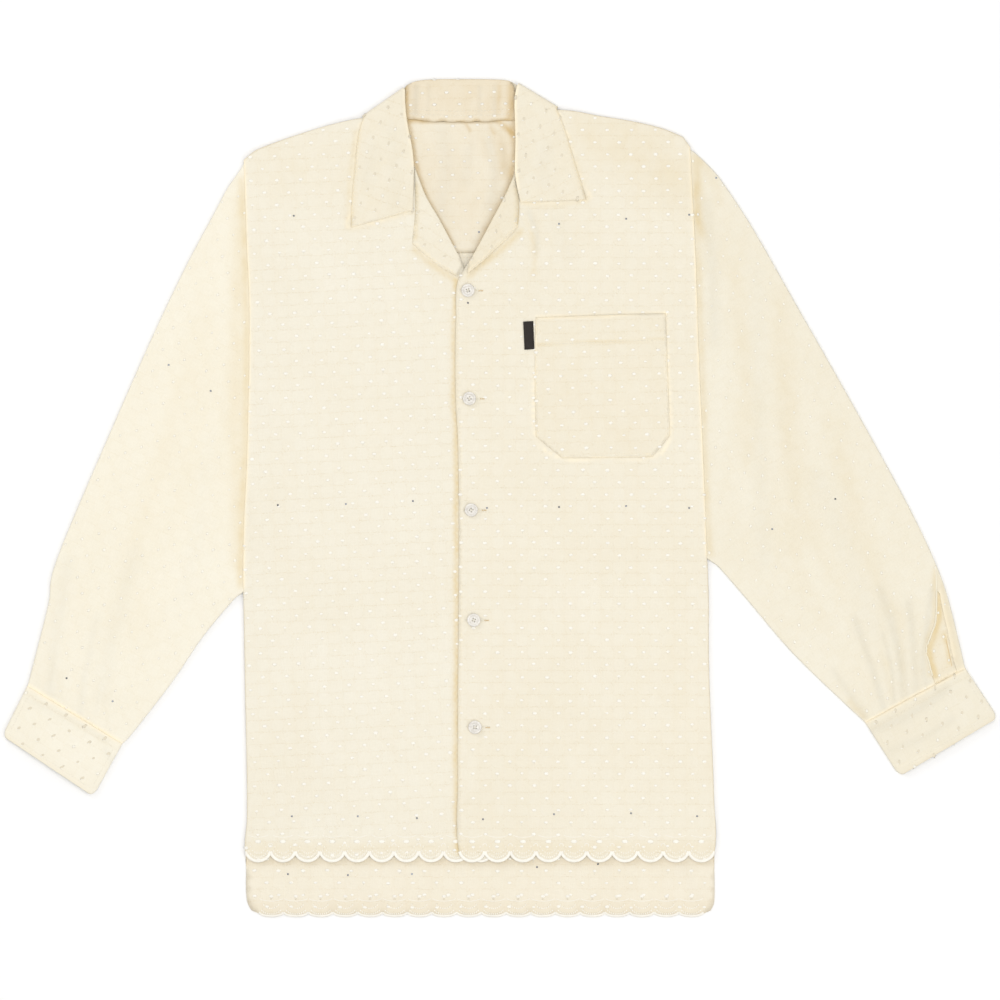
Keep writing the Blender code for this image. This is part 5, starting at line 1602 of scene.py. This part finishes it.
def hems():
    """Satin edge of the scallops, and the eyelet fans and ovals sewn inside each one."""
    edges, beads, eyes, ovals, dull, arcs = [], [], [], [], [], []

    def fan(name, x0, x1, y, depth, rows, out):
        for inset, count, size in rows:
            for t in np.linspace(0.05, 0.95, count):
                px = x0 + (x1 - x0) * (0.5 + (t - 0.5) * (1 - inset * 0.035))
                py = y - depth * float(bow(t)) + inset
                at = on_piece(name, px, py, -0.05)
                if at:
                    out.append((*at, (0.9 * (t - 0.5), 1, 0), (size, size, 1)))

    y, depth = FRONT_HEM_Y, FRONT_SCALLOP
    for x0, x1, name in hem_scallops():
        path = []
        for t in np.linspace(0.0, 1.0, 21):
            px, py = x0 + (x1 - x0) * t, y - depth * float(bow(t)) + 1.35
            at = on_piece(name, min(max(px, x0 + 0.2), x1 - 0.2), py)
            if at:
                path.append(at[0])
        if len(path) > 3:
            edges.append(path)
        fan(name, x0, x1, y, depth, ((4.6, 11, 1.0), (8.6, 8, 0.9)), beads)
        fan(name, x0, x1, y, depth, ((6.6, 9, 1.0),), eyes)
        at = on_piece(name, (x0 + x1) / 2, -320.8)
        if at:
            ovals.append((*at, (0, 1, 0), (1, 1, 1)))
        arc = [on_piece(name, x0 + (x1 - x0) * t, -312.8 - 4.0 * float(bow(t)), -0.12)
               for t in np.linspace(0.1, 0.9, 11)]
        if all(arc):
            arcs.append([at[0] for at in arc])
        curl = [on_piece(name, x0 + 1.9 * math.cos(a), -324.4 + 1.7 * math.sin(a), -0.05)
                for a in np.linspace(-0.6, 3.6, 9)]
        if all(curl):
            arcs.append([at[0] for at in curl])
    back_edges = []
    whole = BACK_HEM[1] - BACK_HEM[0]
    for i in range(BACK_SCALLOPS):
        x0, width = BACK_HEM[0] + whole * i / BACK_SCALLOPS, whole / BACK_SCALLOPS
        path = []
        for t in np.linspace(0, 1, 13):
            at = on_piece("back", x0 + width * t, BACK_HEM_Y - BACK_SCALLOP * float(bow(t)) + 1.1)
            if at:
                path.append(at[0])
        back_edges.append(path)
        fan("back", x0, x0 + width, BACK_HEM_Y, BACK_SCALLOP + 1.5, ((4.4, 11, 1.0), (9.6, 9, 1.0)),
            beads)
        fan("back", x0, x0 + width, BACK_HEM_Y, BACK_SCALLOP + 3.5,
            ((6.6, 10, 1.1), (11.4, 7, 1.0)), eyes)
        arc = [on_piece("back", x0 + width * t, -374.0 - 3.0 * float(bow(t)), -0.1)
               for t in np.linspace(0.03, 0.97, 11)]
        arcs.append([at[0] for at in arc if at])
        at = on_piece("back", x0 + width / 2, -372.4)
        if at:
            dull.append((*at, (0, 1, 0), (1, 1, 1)))
            low = on_piece("back", x0 + width / 2, -375.0)
            eyes.append((*low, (1, 0, 0), (1.6, 2.0, 1)))
    sew_lines("hem_satin_edge", edges, WHITE_THREAD, 3.0, 0.9, sides=10)
    sew_lines("back_hem_edge", back_edges, EDGE_THREAD, 2.2, 0.7, sides=8)
    sew_lines("hem_cording", arcs, EDGE_THREAD, 0.8, 0.4, sides=6)
    sew_marks("hem_dull_ovals", dull, EDGE_THREAD, 4.6, 3.0, 0.5, sides=8, rings=5)
    sew_marks("hem_beads", beads, WHITE_THREAD, 1.15, 1.7, 0.5, sides=6, rings=4)
    # eyelets: darker thread that also paints the shade in each hole
    sew_marks("hem_eyelets", eyes, HOLLOW_SHADE_THREAD, 0.9, 1.3, 0.34, sides=6, rings=4)
    sew_marks("hem_ovals", ovals, WHITE_THREAD, 5.9, 3.5, 0.65, sides=12, rings=6)
    folded = []
    for x, y in bend(SLIT_FOLD, 8):
        at = place(x - 0.6, y, ("left_sleeve", "left_sleeve_placket"), 0.0)
        if at:
            folded.append(at[0])
    sew_lines("slit_fold", [folded], COTTON_EDGE, 1.5, 0.8, sides=8)
    # painted shadow: a brown cord in the sleeve's slit
    slit = [place(x, y, ("left_sleeve_placket", "left_sleeve"), -0.05)
            for x, y in ((439.4, -131), (441.2, -139), (443.2, -148), (445.0, -156))]
    sew_lines("slit_shadow", [[at[0] for at in slit if at]], BROWN_SHADE, 1.0, 0.3, sides=6)
    # painted shade: a brown cord along the neck seam
    seam = [(-67.6, 358.0), (-62, 356.6), (-57, 355.9), (-52, 354.6), (-46, 355.2), (-41, 354.2),
            (-35, 355.0), (-30, 353.8), (-23, 354.4), (-17, 353.9), (-10, 354.6), (-4, 353.8),
            (3, 354.8), (10, 354.0), (16, 355.2), (23, 355.8), (30, 355.2), (35, 355.2)]
    found = [place(x, y, ("back_yoke",), -0.12) for x, y in bend(seam, 3)]
    sew_lines("neck_seam_shade", [[at[0] for at in found if at]], BROWN_SHADE, 1.1, 0.26, sides=6)


def stitch_run(points, names, length=2.3, gap=0.9, step=0.4):
    """Stitches along a path over the cloth that shows."""
    pts = np.array(bend(points, 8), float)
    runs = np.concatenate([[0], np.cumsum(np.linalg.norm(np.diff(pts, axis=0), axis=1))])
    out, at = [], 0.0
    while at < runs[-1] - length:
        mid = at + length / 2
        x, y = np.interp(mid, runs, pts[:, 0]), np.interp(mid, runs, pts[:, 1])
        x2, y2 = np.interp(mid + step, runs, pts[:, 0]), np.interp(mid + step, runs, pts[:, 1])
        found = place(x, y, names)
        if found:
            out.append((found[0], found[1], (x2 - x, y2 - y, 0), (1, length / 2.3, 1)))
        at += length + gap
    return out


def seams():
    """Machine stitches along the neck band, collar, lapels, pocket, cuffs and buttonholes."""
    runs = []
    for y in (366.1, 361.9):
        runs += stitch_run([(-65, y + 1.2), (-45, y), (-17, y - 0.6), (14, y), (31, y + 1.0)],
                           ("collar_stand",))
    runs += stitch_run([(-117.6, 257.6), (-117.4, 272), (-115.8, 296), (-113.4, 326), (-110, 349)],
                       ("collar",))
    runs += stitch_run([(-117, 258), (-90, 266), (-63, 273.6)], ("collar",))
    runs += stitch_run([(99.4, 283.4), (95.6, 297), (90.4, 313), (86.4, 326), (81.2, 343),
                        (76, 358)], ("collar",))
    runs += stitch_run([(99, 283.4), (70, 281.8), (42, 281.2)], ("collar",))
    runs += stitch_run([(-21.5, 212.8), (-37, 221.6), (-60.2, 241.4), (-58.4, 257), (-57.2, 290)],
                       ("right_lapel",))
    runs += stitch_run([(-7.8, 216), (4, 225.6), (18, 239), (31.4, 251.4), (36, 257.4), (37, 278)],
                       ("left_lapel",))
    runs += stitch_run([(56.4, 146), (95, 147.6), (136, 149.2), (177, 150.6)], ("pocket",))
    loop = [(56.2, 169), (55.2, 121.7), (56.2, 60.6), (79.6, 41.3), (121, 41.5), (162.8, 42.3),
            (178.6, 61), (176.4, 125), (174.6, 173)]
    for a, b in zip(loop, loop[1:]):
        runs += stitch_run([a, b], ("pocket",))
    runs += stitch_run([(x + 2.0, y) for x, y in FRONT_EDGE[:-1]] + [(-15.6, -326)],
                       ("left_front",), 2.6, 1.1)
    for outer, lower, name in ((RIGHT_CUFF_OUTER, RIGHT_CUFF_LOWER, "right_cuff"),
                               (LEFT_CUFF_OUTER, LEFT_CUFF_LOWER, "left_cuff")):
        for share in (0.13, 0.91):
            a = np.array(outer[0]) + (np.array(outer[1]) - outer[0]) * share
            b = np.array(lower[0]) + (np.array(lower[1]) - lower[0]) * share
            runs += stitch_run([tuple(a + (b - a) * 0.05), tuple(a + (b - a) * 0.95)], (name,))
        for t in (0.045, 0.955):
            a = np.array(outer[0]) + (np.array(lower[0]) - outer[0]) * t
            b = np.array(outer[1]) + (np.array(lower[1]) - outer[1]) * t
            runs += stitch_run([tuple(a + (b - a) * 0.16), tuple(a + (b - a) * 0.86)], (name,))
    runs += stitch_run([(-50, 231.6), (-26, 231.6), (-2, 231.6)], ("back",))
    sew_marks("machine_stitches", runs, CREAM_THREAD, 0.62, 2.3, 0.5, sides=6, rings=4)
    bars = []
    for x, y in BUTTONS:
        for side in (-0.75, 0.75):
            for px in np.arange(x - 7.6, x + 12.8, 0.55):
                found = on_piece("left_front", px, y + side - 0.004 * (px - x), -0.02)
                if found:
                    bars.append((found[0], found[1], (0, 1, 0), (1, 1, 1)))
        for px in (x - 7.9, x + 13.1):
            for k in (-1, 0, 1):
                found = on_piece("left_front", px, y + 0.6 * k, 0.02)
                if found:
                    bars.append((found[0], found[1], (1, 0, 0), (1, 1.2, 1)))
    sew_marks("buttonhole_stitches", bars, CREAM_THREAD, 0.5, 1.5, 0.5, sides=6, rings=4)
    # painted shade in the open end of each buttonhole's slit
    ends = [on_piece("left_front", x + dx, y - 0.3, 0.25) for x,
            y in BUTTONS for dx in (10.6, 12.2, 13.6)]
    sew_marks("buttonhole_ends", [(*at, (0, 1, 0), (1, 1, 1)) for at in ends if at], BROWN_SHADE,
              1.5, 1.3, 0.5, sides=6, rings=4)


PIXEL, MIDDLE = 0.94, (478, 500)        # scale of the plan, and its pixel over the origin
# the stones that show, on the plan
CRYSTALS = [(716, 178), (294, 216), (479, 232), (559, 224), (626, 219), (689, 215), (468, 303),
            (169, 365), (211, 391), (835, 499), (772, 529), (278, 505), (346, 504), (413, 501),
            (487, 508), (559, 507), (626, 506), (689, 508), (67, 678), (113, 701), (292, 816),
            (358, 816), (417, 818), (483, 819), (554, 814), (631, 813), (697, 816), (288, 874),
            (348, 875), (412, 874), (537, 867), (598, 864)]


def crystals():
    """Small clear stones painted dark for what they reflect, as they show on the front and in even
    rows on the back.
    """
    stones = []
    for k, (px, py) in enumerate(CRYSTALS):
        x, y = (px - MIDDLE[0]) * PIXEL, (MIDDLE[1] - py) * PIXEL
        found = uppermost(x, y)
        if found:
            n = found[2]
            stones.append(((x, y, found[1] + CLOTH / 2 + 0.15), n, (math.cos(k), math.sin(k), 0),
                           (1, 1, 1)))
    for x in (-170, -95, -20, 60, 140, 190):
        for y in (-300, -20, 150):
            found = place(x + 7 * math.sin(y), y, ("back",), 0.15, True)
            if found:
                stones.append((found[0], found[1], (1, 0, 0), (1, 1, 1)))
    obj = sew_marks("set_stones", stones, CRYSTAL, 2.0, 2.0, 1.0, sides=8, rings=4)
    for face in obj.data.polygons:
        face.use_smooth = False


LEAF_RIGHT_EDGE = [LEAF_RIGHT[0][0]] + [pair[1] for pair in LEAF_RIGHT]
LEAF_LEFT_EDGE = [LEAF_LEFT[0][0]] + [pair[1] for pair in LEAF_LEFT]
RIGHT_CUFF_SEAM = [RIGHT_CUFF_OUTER[0], RIGHT_CUFF_LOWER[0]]
LEFT_CUFF_SEAM = [LEFT_CUFF_OUTER[0], LEFT_CUFF_LOWER[0]]
# pale gold where an edge or a seam catches the light
GOLD = {
    "pocket": (0.0, [(POCKET + POCKET[:1], 1.3, 0.75)]),
    "left_front": (0.0, [(POCKET[:4], 1.2, 0.4), (POCKET[3:], 1.2, 0.5),
        (LEAF_LEFT_EDGE, 1.2, 0.4), ([(x, y) for x, y in RIGHT_EDGE if y > -60], 1.6, 0.6),
        (FRONT_EDGE, 1.4, 0.4)]),
    "right_front": (0.0, [(LEAF_RIGHT_EDGE, 1.2, 0.3),
        ([(x, y) for x, y in LEFT_EDGE if y > -90], 1.6, 0.6)]),
    "collar": (0.0, [(LEAF_RIGHT_EDGE, 1.2, 0.6), (LEAF_LEFT_EDGE, 1.2, 0.6),
        ([(-68.7, 385), (-67.4, 361), (-62, 331), (-60.3, 314)], 1.2, 0.5),
        ([(37, 389), (34.6, 372), (35.3, 338), (34.8, 314), (37, 292)], 1.3, 0.7)]),
    "collar_stand": (0.0, [([(36, 388), (36.4, 372), (36.4, 358)], 1.6, 0.5)]),
    "right_lapel": (0.0, [
        ([(-20.3, 210.6), (-36.5, 219.6), (-61.8, 240.6), (-60, 257)], 1.2, 0.7)]),
    "left_lapel": (0.0, [
        ([(-10, 212.6), (4, 223.8), (18.2, 237.2), (32, 250), (37.6, 256.6)], 1.2, 0.7)]),
    "right_cuff": (0.0, [(RIGHT_CUFF_SEAM, 1.6, 0.6)]),
    "left_cuff": (0.0, [(LEFT_CUFF_SEAM, 1.6, 0.6)]),
    "right_sleeve": (0.0, [(RIGHT_CUFF_SEAM, 2.2, 0.6)]),
    "left_sleeve": (0.0, [(LEFT_CUFF_SEAM, 2.2, 0.5),
        ([(434, -86), (437, -100), (441.6, -120), (447, -146)], 1.6, 0.3)]),
    "left_sleeve_placket": (0.0, [([(434, -88), (440.5, -120), (445.8, -146)], 1.4, 0.4),
        ([(429.4, -172.6), (450.6, -161.4)], 2.0, 0.6)]),
    "back_yoke": (0.0, [([(-50, 234), (-2, 234)], 1.5, 0.5),
        ([(36, 356), (36, 330), (35, 306)], 1.6, 0.5)]),
    "back": (0.0, [([(-50, 233), (-2, 233)], 1.5, 0.4)])}

build_back()
build_yoke()
build_right_front()
build_left_front()
build_lapels()
build_stand()
build_collar()
RIGHT_SLEEVE_SHADE = [
    ([(-222, 300), (-219, 240), (-217, 150), (-218, 60), (-221, -20), (-223, -80)], 4, 0.45),
    ([(-225, 280), (-226, 180), (-228, 60), (-227, -60)], 7, 0.22),
    ([(-258, 170), (-294, 30), (-329, -130)], 12, 0.05)]
LEFT_SLEEVE_SHADE = [
    ([(203, 322), (206, 250), (210, 140), (214, 20), (218, -50)], 3.5, 0.35),
    ([(208, 326), (206, 270), (212, 248)], 4, 0.4),
    ([(212, 316), (222, 300), (226, 282)], 5, 0.16),
    ([(429, -64), (428, -112), (419, -140), (424, -164)], 2.4, 0.3),
    ([(240, 220), (250, 130), (252, 40)], 8, 0.14),
    ([(284, 190), (292, 60), (300, -40)], 10, 0.14),
    ([(336, 70), (356, -30), (384, -104)], 12, 0.1),
    ([(436, -72), (440, -104), (446, -134), (452, -156)], 6, 0.34),
    ([(362, -204), (350, -190)], 4, 0.3)]
build_sleeve("right_sleeve", RIGHT_SLEEVE_OUTER, RIGHT_SLEEVE_LOWER, LEFT_EDGE,
             RIGHT_SLEEVE_CREASES,
             RIGHT_CUFF_PUCKERS, turned_grain(*CUTS["right_sleeve"]), 51, RIGHT_SLEEVE_SHADE)
build_sleeve("left_sleeve", LEFT_SLEEVE_OUTER, LEFT_SLEEVE_LOWER, RIGHT_EDGE, LEFT_SLEEVE_CREASES,
             LEFT_CUFF_PUCKERS, turned_grain(*CUTS["left_sleeve"]), 61, LEFT_SLEEVE_SHADE)
build_cuff("right_cuff", RIGHT_CUFF_OUTER, RIGHT_CUFF_LOWER, turned_grain(*CUTS["right_cuff"]), 71)
build_cuff("left_cuff", LEFT_CUFF_OUTER, LEFT_CUFF_LOWER, turned_grain(*CUTS["left_cuff"]), 73)
build_placket()
build_pocket()
build_tab()
build_buttons()
dots()
hems()
seams()
crystals()

SHEETS = {  # flat width and length of each cut in metres, its area, and what it rests on
    "back": (0.445, 0.625, 0.270, ()), "back_yoke": (0.43, 0.145, 0.051, ("back",)),
    "right_front": (0.235, 0.71, 0.151, ("back", "back_yoke")),
    "left_front": (0.243, 0.715, 0.155, ("right_front", "back")),
    "right_lapel": (0.05, 0.105, 0.0020, ("right_front",)),
    "left_lapel": (0.045, 0.10, 0.0015, ("left_front",)),
    "collar_stand": (0.108, 0.04, 0.0039, ("collar",)),
    "collar": (0.44, 0.075, 0.0200, ("right_front", "left_front")),
    "right_sleeve": (0.50, 0.54, 0.123, ()), "left_sleeve": (0.52, 0.56, 0.139, ()),
    "right_cuff": (0.21, 0.057, 0.0115, ()), "left_cuff": (0.22, 0.06, 0.0125, ()),
    "left_sleeve_placket": (0.022, 0.100, 0.0013, ("left_sleeve",)),
    "pocket": (0.127, 0.136, 0.0163, ("left_front",)),
    "label_tab": (0.010, 0.027, 0.00026, ("left_front",))}

for name, (width, length, area, under) in SHEETS.items():
    [PIECES[n] for n in under]

# the sheet of paper that the shirt lies on, its lamps and the camera straight above
PAPER_Z = -0.0003
floor_mesh = bpy.data.meshes.new("floor")
floor_mesh.from_pydata([(x, y, PAPER_Z) for x, y in ((-6, -6), (6, -6), (6, 6), (-6, 6))], [],
                       [(0, 1, 2, 3)])
floor = put("floor", floor_mesh)
paper, paper_tree, paper_shader = finish("paper", (0.86, 0.86, 0.86), 0.95)
fleck = stretched_noise(paper_tree, add(paper_tree, "ShaderNodeTexCoord").outputs["Object"], 900.0,
                        900.0)
link(paper_tree, blend_colour(paper_tree, "MIX", fleck, (0.855, 0.855, 0.855), (0.87, 0.87, 0.87)),
     paper_shader.inputs["Base Color"])
floor_mesh.materials.append(paper)


def softbox(name, place, size, power, colour=(1.0, 0.985, 0.96)):
    """A square lamp that points at the middle of the shirt."""
    data = bpy.data.lights.new(name, "AREA")
    data.shape, data.size, data.energy, data.color = "SQUARE", size, power, colour
    lamp = put(name, data)
    lamp.location = place
    lamp.rotation_euler = (-Vector(place)).to_track_quat("-Z", "Y").to_euler()


softbox("key", (-1.9, 1.7, 1.5), 1.0, 14.0)
softbox("fill", (1.8, -1.4, 2.4), 1.8, 20.0)
softbox("overhead", (0.0, 0.0, 3.6), 3.0, 61.5, (1.0, 0.99, 0.98))
world = bpy.data.worlds.new("studio")
world.use_nodes = True
world.node_tree.nodes["Background"].inputs["Color"].default_value = (1.0, 1.0, 1.0, 1)
world.node_tree.nodes["Background"].inputs["Strength"].default_value = 0.62
bpy.context.scene.world = world
bpy.context.scene.view_settings.view_transform = "Standard"
bpy.context.scene.view_settings.look = "None"

camera_data = bpy.data.cameras.new("camera")
camera_data.type, camera_data.sensor_width = "PERSP", 36.0
DISTANCE, FRAME_WIDTH = 6.0, 0.940
camera_data.lens = camera_data.sensor_width * DISTANCE / FRAME_WIDTH
camera = put("camera", camera_data)
camera.location = (0.0207, 0.0, DISTANCE)
camera.rotation_euler = (0.0, 0.0, 0.0)
bpy.context.scene.camera = camera
